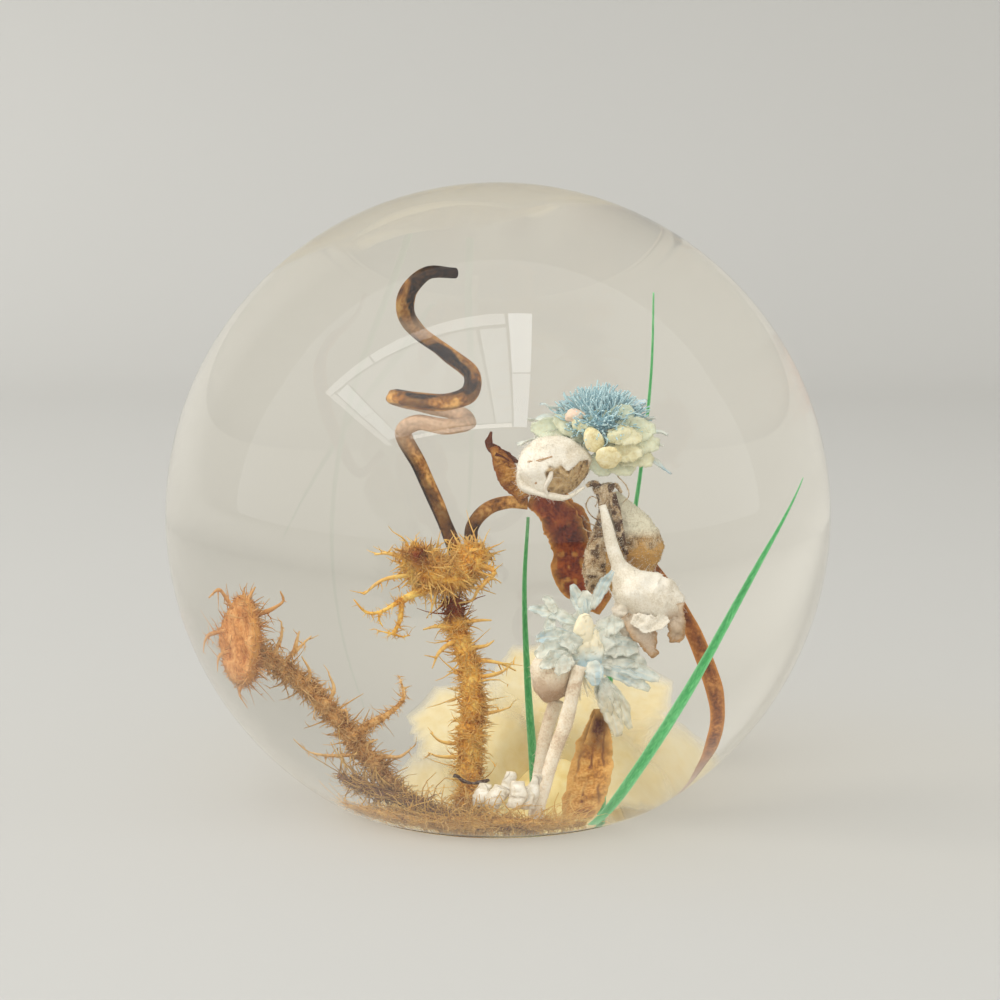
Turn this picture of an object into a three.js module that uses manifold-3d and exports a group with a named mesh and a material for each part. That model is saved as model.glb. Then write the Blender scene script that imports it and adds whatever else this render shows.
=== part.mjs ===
// A dried flower paperweight: a ball of clear cast resin with a flat foot, and a small
// garden of lichen, flowers, seed pods, leaves and grass sealed in it.
// Millimetres, +Z up, origin in the middle of the foot. The front looks along -Y.
import * as THREE from "three";
import { mergeVertices } from "three/addons/utils/BufferGeometryUtils.js";
import Module from "manifold-3d";

// Driving dimensions of the resin ball
const ballRadius = 37.5;
const centreHeight = 32.3;
const pourLine = 3;
const footBevel = 0.5;
const footInset = 0.2;
const ballSides = 36;
const lowerSteps = 6;
const upperSteps = 10;

// Every plant keeps this distance to the resin and to its neighbours
const gap = 0.3;
const plantFloor = pourLine + gap;

// Sizes that several plants share, all half widths
const stemCore = 0.6;
const twigCore = 0.35;
const feltCore = 0.55;
const tendrilCore = 0.65;
const flowerSize = 10.2;

const wasm = await Module();
wasm.setup();
const { Manifold, Mesh: RawMesh } = wasm;

// A seeded number source, so that the spines stand the same way each time
function numbers(seed) {
  let state = seed;
  return () => {
    state = (state * 1664525 + 1013904223) % 4294967296;
    return state / 4294967296;
  };
}

function vector(point) {
  return new THREE.Vector3(...point);
}

// The solid inside a closed geometry
function solidOf(geometry) {
  geometry.deleteAttribute("normal");
  geometry.deleteAttribute("uv");
  const welded = mergeVertices(geometry, 1e-4);
  const corners = welded.index.array;
  const faces = [];
  for (let i = 0; i < corners.length; i += 3) {
    const face = [...corners.slice(i, i + 3)];
    if (new Set(face).size === 3) faces.push(...face);
  }
  const vertProperties = new Float32Array(welded.attributes.position.array);
  return new Manifold(new RawMesh({ numProp: 3, vertProperties, triVerts: new Uint32Array(faces) }));
}

function joined(solids) {
  return solids.reduce((whole, solid) => whole.add(solid));
}

// What is left in one piece when a cut takes a corner off
function largest(solid) {
  return solid.decompose().reduce((big, part) => (part.volume() > big.volume() ? part : big));
}

// A value between the stations of a list that spans 0 to 1
function along(stations, t) {
  const place = t * (stations.length - 1);
  const low = Math.min(Math.floor(place), stations.length - 2);
  return THREE.MathUtils.lerp(stations[low], stations[low + 1], place - low);
}

// An oval section swept along a smooth route, closed at both ends. width and thick list
// half sizes at even steps, and face is the way that the flat side of the section looks.
function sweep({ route, width, thick = width, face = null, sides = 6, steps = 2 * route.length }, grow) {
  const curve = new THREE.CatmullRomCurve3(route.map(vector), false, "centripetal");
  const frames = curve.computeFrenetFrames(steps);
  const points = [];
  const corners = [];
  for (let i = 0; i <= steps; i++) {
    const t = i / steps;
    const tangent = frames.tangents[i];
    const centre = curve.getPointAt(t);
    const end = i === 0 ? -1 : i === steps ? 1 : 0;
    centre.addScaledVector(tangent, end * grow);
    let side = frames.normals[i];
    let up = frames.binormals[i];
    if (face) {
      up = vector(face).addScaledVector(tangent, -vector(face).dot(tangent)).normalize();
      side = new THREE.Vector3().crossVectors(up, tangent);
    }
    const halfWidth = along(width, t) + grow;
    const halfThick = along(thick, t) + grow;
    for (let j = 0; j < sides; j++) {
      const angle = (2 * Math.PI * j) / sides;
      const point = centre.clone().addScaledVector(side, halfWidth * Math.cos(angle));
      points.push(point.addScaledVector(up, halfThick * Math.sin(angle)));
    }
    if (end) points.push(centre.addScaledVector(tangent, end * 0.7 * halfThick));
  }
  // The first ring is followed by its end point, so later rings start one place on
  const corner = (i, j) => (i === 0 ? 0 : 1) + i * sides + (j % sides);
  for (let j = 0; j < sides; j++) {
    corners.push(sides, corner(0, j + 1), corner(0, j));
    corners.push(points.length - 1, corner(steps, j), corner(steps, j + 1));
    for (let i = 0; i < steps; i++) {
      corners.push(corner(i, j), corner(i, j + 1), corner(i + 1, j + 1));
      corners.push(corner(i, j), corner(i + 1, j + 1), corner(i + 1, j));
    }
  }
  const geometry = new THREE.BufferGeometry().setFromPoints(points);
  geometry.setIndex(corners);
  return solidOf(geometry);
}

// An egg shape with its third radius along one direction
function egg({ centre, radii, axis = [0, 0, 1], sides = 10, rings = 6 }, grow) {
  const geometry = new THREE.SphereGeometry(1, sides, rings);
  geometry.rotateX(Math.PI / 2);
  geometry.scale(...radii.map((radius) => radius + grow));
  const turn = new THREE.Quaternion();
  turn.setFromUnitVectors(new THREE.Vector3(0, 0, 1), vector(axis).normalize());
  geometry.applyQuaternion(turn);
  geometry.translate(...centre);
  return solidOf(geometry);
}

// A round plate, thicker in the middle, that looks along one direction
function plate({ centre, radius, thick, axis, sides = 14 }, grow) {
  const rim = radius + grow;
  const half = thick / 2 + grow;
  const profile = [[0, -half], [0.8 * rim, -0.7 * half], [rim, 0], [0.8 * rim, 0.8 * half], [0, 0.5 * half]];
  if (grow > 0) profile[4][1] = half;
  const geometry = new THREE.LatheGeometry(profile.map((p) => new THREE.Vector2(...p)), sides);
  const turn = new THREE.Quaternion();
  turn.setFromUnitVectors(new THREE.Vector3(0, 1, 0), vector(axis).normalize());
  geometry.applyQuaternion(turn);
  geometry.translate(...centre);
  return solidOf(geometry);
}

// One thin spine from a point, as a three-sided cone
function spine(start, direction, length, girth) {
  const geometry = new THREE.ConeGeometry(girth, length, 3);
  geometry.translate(0, length / 2, 0);
  const turn = new THREE.Quaternion();
  turn.setFromUnitVectors(new THREE.Vector3(0, 1, 0), direction.clone().normalize());
  geometry.applyQuaternion(turn);
  geometry.translate(...start);
  return solidOf(geometry);
}

// Spines all round a swept limb, leaning a little towards its tip
function spinesOn({ route }, { count, reach, girth = 0.26, from = 0, seed }) {
  const curve = new THREE.CatmullRomCurve3(route.map(vector), false, "centripetal");
  const frames = curve.computeFrenetFrames(count);
  const random = numbers(seed);
  const spines = [];
  for (let i = Math.ceil(from * count); i < count; i++) {
    const angle = i * 2.4 + random();
    const direction = frames.normals[i].clone().multiplyScalar(Math.cos(angle));
    direction.addScaledVector(frames.binormals[i], Math.sin(angle));
    direction.addScaledVector(frames.tangents[i], 0.5 * random() - 0.1);
    const length = reach * (0.6 + 0.4 * random());
    spines.push(spine(curve.getPointAt((i + 0.5) / count), direction, length, girth));
  }
  return joined(spines);
}

// Spines that stand off a plate's rim or a round head. rise is the range of their slopes
// over the flat, and inset is how far from the centre they begin.
function spinesFrom(centre, axis, { count, reach, inset = 0, girth, rise, seed }) {
  const turn = new THREE.Quaternion();
  turn.setFromUnitVectors(new THREE.Vector3(0, 0, 1), vector(axis).normalize());
  const random = numbers(seed);
  const spines = [];
  for (let i = 0; i < count; i++) {
    const angle = i * 2.4;
    const height = rise[0] + (rise[1] - rise[0]) * ((i + 0.5) / count);
    const flat = Math.sqrt(Math.max(0, 1 - height * height));
    const direction = new THREE.Vector3(flat * Math.cos(angle), flat * Math.sin(angle), height);
    direction.applyQuaternion(turn);
    const start = vector(centre).addScaledVector(direction, inset);
    const length = reach * (0.82 + 0.18 * random()) - inset;
    spines.push(spine(start, direction, length, girth));
  }
  return joined(spines);
}

const plants = [];

// A plant: body gives its solids grown by a distance and spikes are fused to it. hollow
// lists the space that it takes in the resin, where that is simpler than its own shape,
// and is empty where it stands in a neighbour's space.
function plant(name, finish, body, { spikes = null, hollow = body(gap) } = {}) {
  plants.push({ name, finish, body: joined(body(0)), reserve: joined(body(gap)), spikes, hollow });
}

function finishOf(color, roughness, opacity = 1) {
  const transparent = opacity < 1;
  return new THREE.MeshStandardMaterial({ color, roughness, metalness: 0, opacity, transparent });
}

const finishes = {
  resin: finishOf(0xe9e3d4, 0.05, 0.3),
  lichen: finishOf(0xb48b4e, 0.9),
  mat: finishOf(0x86714e, 0.9),
  tendril: finishOf(0x4b3322, 0.55),
  deadLeaf: finishOf(0x7a3a16, 0.6),
  stripedLeaf: finishOf(0xa8672a, 0.6),
  felt: finishOf(0xd6cdbf, 0.95),
  speckled: finishOf(0xa89274, 0.85),
  blue: finishOf(0xa6ccd6, 0.85),
  cream: finishOf(0xe4ddab, 0.8),
  grass: finishOf(0x3f9d5e, 0.5),
};

// The tendril stands in the lichen's cup, makes one flat coil and ends in a hook
const tendril = {
  route: [
    [-3.1, -2.6, 29.6], [-4.7, -2, 33.5], [-6.1, -1.8, 36.5], [-7.4, -2.2, 39.2], [-6.4, -3.4, 40.2],
    [-4.2, -3.4, 39.9], [-2.4, -1.9, 39.8], [-2.8, 0.4, 40], [-5, 1.6, 40.4], [-7.4, 0.4, 41.2],
    [-8, -2, 42], [-6.4, -3.4, 42], [-4, -3.2, 41.8], [-2.2, -1.8, 42.3], [-2, -0.6, 43.5],
    [-4, 0, 45], [-6.2, -0.6, 46.9], [-7.3, -1.3, 48.8], [-7.2, -1.5, 50.8], [-5.8, -1.3, 52.3],
    [-3.4, 0, 51.8],
  ],
  width: [0.9, 0.9, 1, 0.9, 0.9, 1, 1.1, 0.9, 1.1, 0.7].map((share) => share * tendrilCore),
  steps: 32,
};
plant("tendril", finishes.tendril, (grow) => [sweep(tendril, grow)], {
  hollow: [sweep({ ...tendril, sides: 5 }, 1.4 * gap)],
});

// The dead leaf's dark stalk rises from the same cup and arches over to the leaf
const leafStalk = {
  route: [[-1.9, -2.8, 29.6], [-2, -2, 31.6], [-0.8, -1.5, 33], [0.8, -1.4, 33.5], [2.3, -1.4, 33.4]],
  width: [0.5, 0.55, 0.45],
  steps: 6,
};
plant("leaf_stalk", finishes.tendril, (grow) => [sweep(leafStalk, grow)]);

// A bristly limb's hollow is a plain sleeve over its spines
function sleeve(limb, reach) {
  const width = limb.width.map(() => reach + gap);
  return [sweep({ ...limb, width, thick: width, sides: 7, steps: 5 }, gap)];
}

// Beard lichen, left: a bristly stem that leans out to the side, with a side twig and a
// round cup at its end
const leftStem = {
  route: [
    [-6.2, -14.8, 6.4], [-8.8, -13, 9.2], [-10.6, -12, 12.3], [-13, -11, 15.8], [-15.8, -10.4, 19],
    [-18.8, -10.2, 21], [-21.2, -10.6, 22.1],
  ],
  width: [stemCore * 1.3, stemCore, stemCore * 0.9, stemCore],
  steps: 9,
};
plant("lichen_left_stem", finishes.lichen, (grow) => [sweep(leftStem, grow)], {
  spikes: spinesOn(leftStem, { count: 30, reach: 2.1, girth: 0.36, from: 0.12, seed: 11 }),
  hollow: sleeve(leftStem, 2.2),
});

const leftCup = { centre: [-23.2, -11.6, 22.5], radius: 4.5, thick: 1.2, axis: [-0.8, -0.5, 0.3] };
const cupFringe = { count: 15, reach: 6.8, inset: 3.8, girth: 0.28, rise: [-0.02, 0.1], seed: 5 };
plant("lichen_left_cup", finishes.lichen, (grow) => [plate(leftCup, grow)], {
  spikes: spinesFrom(leftCup.centre, leftCup.axis, cupFringe),
  hollow: [plate({ ...leftCup, radius: 7.6, thick: 2.6, sides: 12 }, gap)],
});

const leftTwig = {
  route: [[-12.2, -12, 15], [-11.2, -13, 16.1], [-9.4, -14, 17.3], [-8, -14, 18.9], [-8.3, -14, 20.4]],
  width: [twigCore, twigCore, twigCore * 0.6, 0.1],
  steps: 6,
};
plant("lichen_left_twig", finishes.lichen, (grow) => [sweep(leftTwig, grow)], {
  spikes: spinesOn(leftTwig, { count: 8, reach: 1.1, girth: 0.18, from: 0.1, seed: 21 }),
  hollow: [egg({ centre: [-9.9, -13, 17.4], radii: [3.2, 2.9, 4.2], sides: 7, rings: 4 }, gap)],
});

// Beard lichen, centre: an upright bristly stem, a folded cup on top and a forked twig
const centreStem = {
  route: [
    [-2.6, -6.4, pourLine], [-2.4, -6, 9.9], [-2.2, -6, 14], [-2, -5.6, 18.6], [-2.4, -5, 21.4],
    [-3.1, -4.6, 24], [-3.6, -4.4, 26.4],
  ],
  width: [stemCore * 1.2, stemCore * 1.1, stemCore, stemCore * 0.9],
  steps: 9,
};
plant("lichen_centre_stem", finishes.lichen, (grow) => [sweep(centreStem, grow)], {
  spikes: spinesOn(centreStem, { count: 33, reach: 2.6, girth: 0.38, from: 0.05, seed: 31 }),
  hollow: sleeve(centreStem, 2.7),
});

const centreCup = {
  route: [
    [-7, -4.6, 30.2], [-6, -4.5, 29.1], [-4.6, -4.3, 28.1], [-3.2, -4.2, 28.3], [-2.2, -4.1, 29.2],
    [-1.7, -4, 30.4],
  ],
  width: [1.2, 2, 2.2, 2, 1.2],
  thick: [0.8, 1.1, 0.9, 1, 0.8],
  face: [0, 0, 1],
  steps: 6,
};
plant("lichen_centre_cup", finishes.lichen, (grow) => [sweep(centreCup, grow)], {
  spikes: spinesOn(centreCup, { count: 22, reach: 3.2, girth: 0.45, seed: 41 }),
  hollow: sleeve(centreCup, 3.1),
});

const twigMain = {
  route: [[-6.4, -5.4, 26.9], [-7.6, -5.6, 26.2], [-9.4, -5.6, 25.4], [-11.4, -5.4, 26]],
  width: [twigCore, twigCore, 0.15],
  sides: 5,
  steps: 5,
};
const twigSide = {
  route: [[-7.6, -5.6, 26.2], [-7.9, -5.6, 24.9], [-8.3, -5.6, 23.6]],
  width: [twigCore, 0.12],
  sides: 5,
  steps: 2,
};
plant("lichen_centre_twig", finishes.lichen, (grow) => [sweep(twigMain, grow), sweep(twigSide, grow)], {
  hollow: [egg({ centre: [-8.6, -5.5, 25.3], radii: [3.9, 1.4, 2.7], sides: 7, rings: 4 }, gap)],
});

// The flowers, pods and leaves on the right stand so close together that they share one
// hollow, which follows them from the foot to the upper flower
const bouquetHollow = sweep(
  {
    route: [
      [3.5, -11, pourLine - 1], [5, -10.7, 9], [7, -8.8, 16], [7.7, -7.6, 20.5], [9, -5.8, 26],
      [7.7, -3.9, 31.5], [7.1, -3.9, 36.5], [7.6, -2.7, 40], [7.8, -3.1, 43.6],
    ],
    width: [4.4, 4.8, 5, 5.2, 6.4, 7.3, 7.9, 7.2, 7.4, 7.1, 4.2],
    sides: 8,
    steps: 10,
  },
  gap,
);
const inBouquet = { hollow: [] };

// The upper woolly pod lies across the top of the dead leaf
const podUpper = { centre: [4.3, -6, 37.1], radii: [2.2, 2.3, 3.1], axis: [1, 0, 0.25] };
plant("pod_upper", finishes.felt, (grow) => [egg(podUpper, grow)], { hollow: [bouquetHollow] });

// The frilled stalk that the dry pods hang from
const podStalk = {
  route: [[7.9, -5, 36.4], [7.8, -5, 35], [8.1, -5, 33.2]],
  width: [0.9, 0.5, 0.6],
  steps: 3,
};
plant("pod_stalk", finishes.speckled, (grow) => [sweep(podStalk, grow)], inBouquet);

// The woolly stem carries the lower woolly pod, which ends in ragged tips
const woollyStem = {
  route: [[8.6, -6.2, 32.8], [9.4, -6.3, 31], [10.4, -6.6, 28.8]],
  width: [0.45, 0.5, 0.6],
  steps: 3,
};
plant("woolly_stem", finishes.felt, (grow) => [sweep(woollyStem, grow)], inBouquet);

const podLower = { centre: [12.1, -7, 26.4], radii: [2.2, 2.2, 2.8], axis: [1, 0, -0.1], sides: 9 };
const podTips = [[12.4, -7.6, 22.1], [14.8, -7, 22.9], [11, -7.6, 24]].map((tip) => ({
  route: [[tip[0] * 0.5 + 6.2, -7.2, 25.4], [tip[0] * 0.8 + 2.5, -7.4, 24.4], tip],
  width: [1.1, 0.8, 0.2],
  thick: [0.4, 0.3, 0.15],
  face: [0, -1, 0],
  sides: 4,
  steps: 3,
}));
plant(
  "pod_lower",
  finishes.felt,
  (grow) => [egg(podLower, grow), ...podTips.map((tip) => sweep(tip, grow))],
  inBouquet,
);

// Two flattened dry pods with speckled skins
const podLeft = {
  route: [[8.1, -4.9, 32.4], [8, -4.9, 30.5], [7.7, -4.9, 28.6], [7.2, -4.9, 27.3]],
  width: [0.5, 1.2, 1.4, 0.6],
  thick: [0.4, 0.9, 1, 0.4],
  face: [0, -1, 0],
  steps: 5,
};
plant("speckled_pod_left", finishes.speckled, (grow) => [sweep(podLeft, grow)], inBouquet);

const podRight = {
  route: [[9, -4, 34.4], [10, -3.6, 32.4], [11.2, -3.6, 30.2], [11.6, -3.6, 28.4]],
  width: [0.4, 1.1, 1.5, 0.7],
  thick: [0.4, 0.9, 1.2, 0.5],
  face: [0, -1, 0],
  steps: 5,
};
plant("speckled_pod_right", finishes.speckled, (grow) => [sweep(podRight, grow)], inBouquet);

// A petal or bract between two points, widest in the middle
function petal(start, tip, { half = 0.9, thick = 0.18, face = [0, -1, 0], bend = 0.3 }) {
  const middle = start.map((value, i) => (value + tip[i]) / 2 + bend * face[i]);
  const width = [half * 0.5, half, half * 0.3];
  return { route: [start, middle, tip], width, thick: [thick, thick], face, sides: 4, steps: 2 };
}

// Upper blue flower: cream bracts round the base, pale rays, and a dome of filaments
const upperHeart = [7.9, -3.4, 38.7];
const upperDome = [7.8, -3.2, 40];
const upperRays = [
  [13.3, -3, 39.3], [13, -2, 38], [13.2, -3.4, 36.3], [11.4, 1.2, 39.4], [8, 2.6, 39.2], [4.2, 1.2, 39.4],
  [2.2, -2.4, 40], [1.8, -2.6, 38.4], [11.6, -6.6, 37.6],
];
const upperBracts = [
  [7.6, -5.7, 39.2], [8.9, -6, 38.1], [10.4, -5.4, 39.7], [9.6, -5.6, 37.2], [5.4, -4.6, 39.7],
];
plant(
  "flower_upper",
  finishes.blue,
  (grow) => [
    egg({ centre: upperHeart, radii: [2, 2, 1.6], sides: 7, rings: 4 }, grow),
    egg({ centre: upperDome, radii: [2.5, 2.5, 2], sides: 8, rings: 5 }, grow),
    ...upperRays.map((tip) => sweep(petal(upperHeart, tip, { half: 1, face: [0, -0.3, 1] }), grow)),
    ...upperBracts.map((centre) => egg({ centre, radii: [0.95, 0.8, 1.1], sides: 5, rings: 3 }, grow)),
  ],
  {
    spikes: spinesFrom(upperDome, [0, 0, 1], { count: 30, reach: 3.4, girth: 0.5, rise: [1, 0.25], seed: 51 }),
    ...inBouquet,
  },
);

// The dead leaf hangs from its stalk, with a curled tip above and its blade below
const leafTip = {
  route: [[2.6, -1.6, 34.6], [1.2, -3, 36], [0, -3.8, 37.8], [-0.6, -4, 39]],
  width: [0.5, 1, 0.7, 0.15],
  thick: [0.25, 0.3, 0.15],
  face: [-0.3, -1, 0],
  steps: 5,
};
plant("leaf_tip", finishes.stripedLeaf, (grow) => [sweep(leafTip, grow)]);

const deadLeaf = {
  route: [
    [3, -1, 33.6], [4.3, -1, 32.4], [5.2, -1, 30.5], [5.8, -0.8, 28.4], [6.6, -0.4, 26.8], [8.2, 0, 25.6],
  ],
  width: [0.7, 1.9, 1.5, 1.5, 1.3, 0.6],
  thick: [0.3, 0.4, 0.35, 0.2],
  face: [0.2, -1, 0.1],
  steps: 8,
};
plant("dead_leaf", finishes.deadLeaf, (grow) => [sweep(deadLeaf, grow)], inBouquet);

// A flat brown stem bends over behind the pods and comes down to the foot on the right
const strapStem = {
  route: [
    [8.9, 1.2, 27.2], [10.6, 2, 28.7], [12.7, 2, 26.3], [15, 2, 21.9], [16.4, 1.6, 17.6], [16.8, -0.6, 14],
    [17, -3.4, 11.2], [17.6, -6.4, 7.8], [18, -8.4, pourLine],
  ],
  width: [0.3, 0.6, 0.65, 0.65, 0.4, 0.3],
  thick: [0.25, 0.3, 0.25],
  face: [0.3, -1, 0],
  sides: 4,
  steps: 11,
};
plant("strap_stem", finishes.deadLeaf, (grow) => [sweep(strapStem, grow)]);

// Round woolly bud on its two felted stems
const bud = { centre: [4.5, -9, 20.5], radii: [1.6, 1.6, 1.9] };
plant("woolly_bud", finishes.felt, (grow) => [egg({ ...bud, sides: 8 }, grow)], inBouquet);

const feltFront = {
  route: [
    [6.4, -10.2, 20.2], [5.6, -10.6, 16.9], [4.8, -11.3, 14.2], [4.1, -12.2, 11], [3.6, -13.2, 7.6],
    [3.4, -13.8, pourLine],
  ],
  width: [feltCore, feltCore],
  steps: 6,
};
plant("felt_stem_front", finishes.felt, (grow) => [sweep(feltFront, grow)], inBouquet);

const feltBack = {
  route: [[4.7, -8.3, 18.5], [4.1, -8, 16.5], [3.7, -8, 14.8], [3.3, -8, 10], [3, -8, pourLine]],
  width: [feltCore, feltCore],
  steps: 6,
};
plant("felt_stem_back", finishes.felt, (grow) => [sweep(feltBack, grow)], inBouquet);

// Lower blue flower, crushed, with its petals spread round the bud
const lowerHeart = [7.6, -8, 23.6];
const lowerPetals = [
  [5.2, -7, 28], [8.7, -7.4, 28], [2.6, -7.4, 25.6], [3, -7.6, 23.4], [11.6, -7.6, 22], [12.8, -7.4, 19.9],
  [10.3, -8.2, 15.9], [9.6, -8.4, 18.2], [8.4, -3.2, 22.4], [5, -4.2, 24.6], [10.6, -4.4, 24.2],
  [7.6, -11.6, 21.4],
];
plant(
  "flower_lower",
  finishes.blue,
  (grow) => [
    egg({ centre: lowerHeart, radii: [1.9, 1.7, 2.6], sides: 8, rings: 5 }, grow),
    ...lowerPetals.map((tip) => sweep(petal(lowerHeart, tip, { half: 0.95 }), grow)),
  ],
  inBouquet,
);

// Striped orange leaf below the flower
const stripedLeaf = {
  route: [[8.4, -8, 18], [7.9, -8.2, 15.6], [7.6, -9, 12.6], [7.5, -9.8, 9], [7.2, -10.2, 6]],
  width: [0.3, 1.6, 2, 1.6, 0.6],
  thick: [0.2, 0.4, 0.4, 0.2],
  face: [0.1, -1, 0.2],
  steps: 6,
};
plant("striped_leaf", finishes.stripedLeaf, (grow) => [sweep(stripedLeaf, grow)], inBouquet);

// Three blades of grass, each rising from the foot
const blades = {
  grass_centre: {
    route: [[2.9, 0.2, pourLine], [2.7, 0, 12], [2.2, 0, 20], [2, 0, 27], [2.3, -0.4, 32.2]],
    width: [0.32, 0.34, 0.28, 0.18, 0.1],
  },
  grass_back: {
    route: [[6.4, 8, pourLine], [7.3, 8, 16], [8.8, 8, 25.6], [10.2, 8, 34], [11, 8, 41], [11.3, 8, 47.4]],
    width: [0.3, 0.3, 0.24, 0.18, 0.1],
  },
  grass_right: {
    route: [[9.4, -14.4, pourLine], [12.1, -12, 11.2], [16.5, -8.6, 20.2], [21, -5.4, 28.6], [25.9, -3, 36]],
    width: [0.5, 0.45, 0.3, 0.2, 0.1],
  },
};
for (const [name, blade] of Object.entries(blades)) {
  const shape = { ...blade, thick: [0.12, 0.1], face: [0.2, -1, 0], sides: 4, steps: 6 };
  plant(name, finishes.grass, (grow) => [sweep(shape, grow)]);
}

// A crumpled white scrap of petal at the foot of the stems
const scrapFolds = [
  { centre: [-0.4, -13.8, 8.6], radii: [1.2, 1.2, 1.5], axis: [0.4, 0, 1] },
  { centre: [1.3, -13.6, 9.4], radii: [1.2, 1.3, 1.9], axis: [-0.2, 0.2, 1] },
  { centre: [2.6, -13.2, 8.6], radii: [0.9, 1.1, 1.4], axis: [-0.5, 0, 1] },
];
plant(
  "petal_scrap",
  finishes.felt,
  (grow) => scrapFolds.map((fold) => egg({ ...fold, sides: 6, rings: 4 }, grow)),
  { hollow: [egg({ centre: [1, -13.5, 9], radii: [3.5, 2.3, 3.3], sides: 7, rings: 4 }, gap)] },
);

// The mat of tangled lichen that lies along the front of the foot
const mat = {
  route: [
    [-15, -11.6, 5.6], [-11, -14, 5.4], [-6, -16, 5.2], [0, -16.8, 5.2], [4.6, -16, 5], [8.4, -14.2, 4.4],
  ],
  width: [0.9, 1.9, 2.2, 2.2, 1.8, 0.8],
  thick: [0.8, 1.7, 2, 2, 1.5, 0.7],
  face: [0, 0, 1],
  sides: 8,
  steps: 8,
};
plant("lichen_mat", finishes.mat, (grow) => [sweep(mat, grow)], {
  spikes: spinesOn(mat, { count: 18, reach: 3.3, girth: 0.5, seed: 61 }),
  hollow: sleeve(mat, 3.2),
});

// The big cream everlasting flower lies behind the rest, its face to the front
const creamHeart = [3.4, 15.5, 11.4];
const creamFace = vector([-0.08, -0.8, 0.6]).normalize();
const creamSide = new THREE.Vector3(1, 0, 0).addScaledVector(creamFace, -creamFace.x).normalize();
const creamUp = new THREE.Vector3().crossVectors(creamFace, creamSide);
function creamBract(angle, reach, lift, half) {
  const out = creamSide.clone().multiplyScalar(Math.cos(angle)).addScaledVector(creamUp, Math.sin(angle));
  const tip = vector(creamHeart).addScaledVector(out, reach).addScaledVector(creamFace, lift);
  const face = creamFace.clone().addScaledVector(out, -0.35);
  return petal(creamHeart, tip.toArray(), { half, thick: 0.3, face: face.toArray(), bend: -0.9 });
}
const creamBracts = [];
for (const [count, reach, lift, half] of [[9, flowerSize, 1.4, 3], [5, flowerSize * 0.7, 3, 2.8]]) {
  for (let i = 0; i < count; i++) {
    creamBracts.push(creamBract((2 * Math.PI * (i + 0.3)) / count, reach, lift, half));
  }
}
plant(
  "everlasting_flower",
  finishes.cream,
  (grow) => [
    egg({ centre: creamHeart, radii: [4, 4, 2.2], axis: creamFace.toArray(), sides: 8, rings: 5 }, grow),
    ...creamBracts.map((bract) => sweep(bract, grow)),
  ],
  { hollow: [egg({ centre: [3.3, 14.6, 12], radii: [12.2, 12.2, 4.6], axis: creamFace.toArray() }, gap)] },
);

// Each plant gives way to the ones before it, and every spike to all other plants
const belowPour = solidOf(new THREE.BoxGeometry(80, 80, 20).translate(0, 0, plantFloor - 10));
const growing = [];
for (const [place, { name, finish, body, spikes }] of plants.entries()) {
  let solid = body.subtract(belowPour);
  for (const earlier of plants.slice(0, place)) solid = solid.subtract(earlier.reserve);
  if (spikes) {
    let free = spikes.subtract(belowPour);
    for (const other of plants.filter((one) => one.name !== name)) free = free.subtract(other.reserve);
    for (const earlier of growing) free = free.subtract(earlier.solid);
    solid = solid.add(free);
  }
  growing.push({ name, finish, solid: largest(solid) });
}

// The ball's outline between two heights, as points from low to high
function ballArc(low, high, steps) {
  const points = [];
  const first = Math.asin((low - centreHeight) / ballRadius);
  const last = Math.asin((high - centreHeight) / ballRadius);
  for (let i = 0; i <= steps; i++) {
    const angle = first + ((last - first) * i) / steps;
    points.push(new THREE.Vector2(ballRadius * Math.cos(angle), centreHeight + ballRadius * Math.sin(angle)));
  }
  return points;
}

function turned(profile) {
  return new THREE.LatheGeometry(profile, ballSides).rotateX(Math.PI / 2);
}

// The dome is poured round the plants, and the closing pour under them makes the foot
const ballTop = centreHeight + ballRadius;
const lowerArc = ballArc(pourLine, centreHeight, lowerSteps);
const upperArc = ballArc(centreHeight, ballTop, upperSteps);
const domeArc = [...lowerArc, ...upperArc.slice(1)];
domeArc[domeArc.length - 1].x = 0;
const dome = solidOf(turned([new THREE.Vector2(0, pourLine), ...domeArc]));
const footArc = ballArc(footBevel, pourLine, 1);
const footRadius = Math.sqrt(ballRadius ** 2 - centreHeight ** 2) - footInset;
const footEdge = [new THREE.Vector2(0, 0), new THREE.Vector2(footRadius, 0)];
const foot = solidOf(turned([...footEdge, ...footArc, new THREE.Vector2(0, pourLine)]));

// A named mesh for a finished solid
function meshOf(name, solid, finish) {
  const raw = solid.getMesh();
  const geometry = new THREE.BufferGeometry();
  geometry.setAttribute("position", new THREE.BufferAttribute(raw.vertProperties, raw.numProp));
  geometry.setIndex(new THREE.BufferAttribute(raw.triVerts, 1));
  geometry.computeVertexNormals();
  const mesh = new THREE.Mesh(geometry, finish);
  mesh.name = name;
  return mesh;
}

const hollows = joined(plants.flatMap((one) => one.hollow));
const paperweight = new THREE.Group();
paperweight.add(meshOf("resin_dome", dome.subtract(hollows), finishes.resin));
paperweight.add(meshOf("resin_base", foot, finishes.resin));
for (const { name, solid, finish } of growing) paperweight.add(meshOf(name, solid, finish));

export default paperweight;
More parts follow.
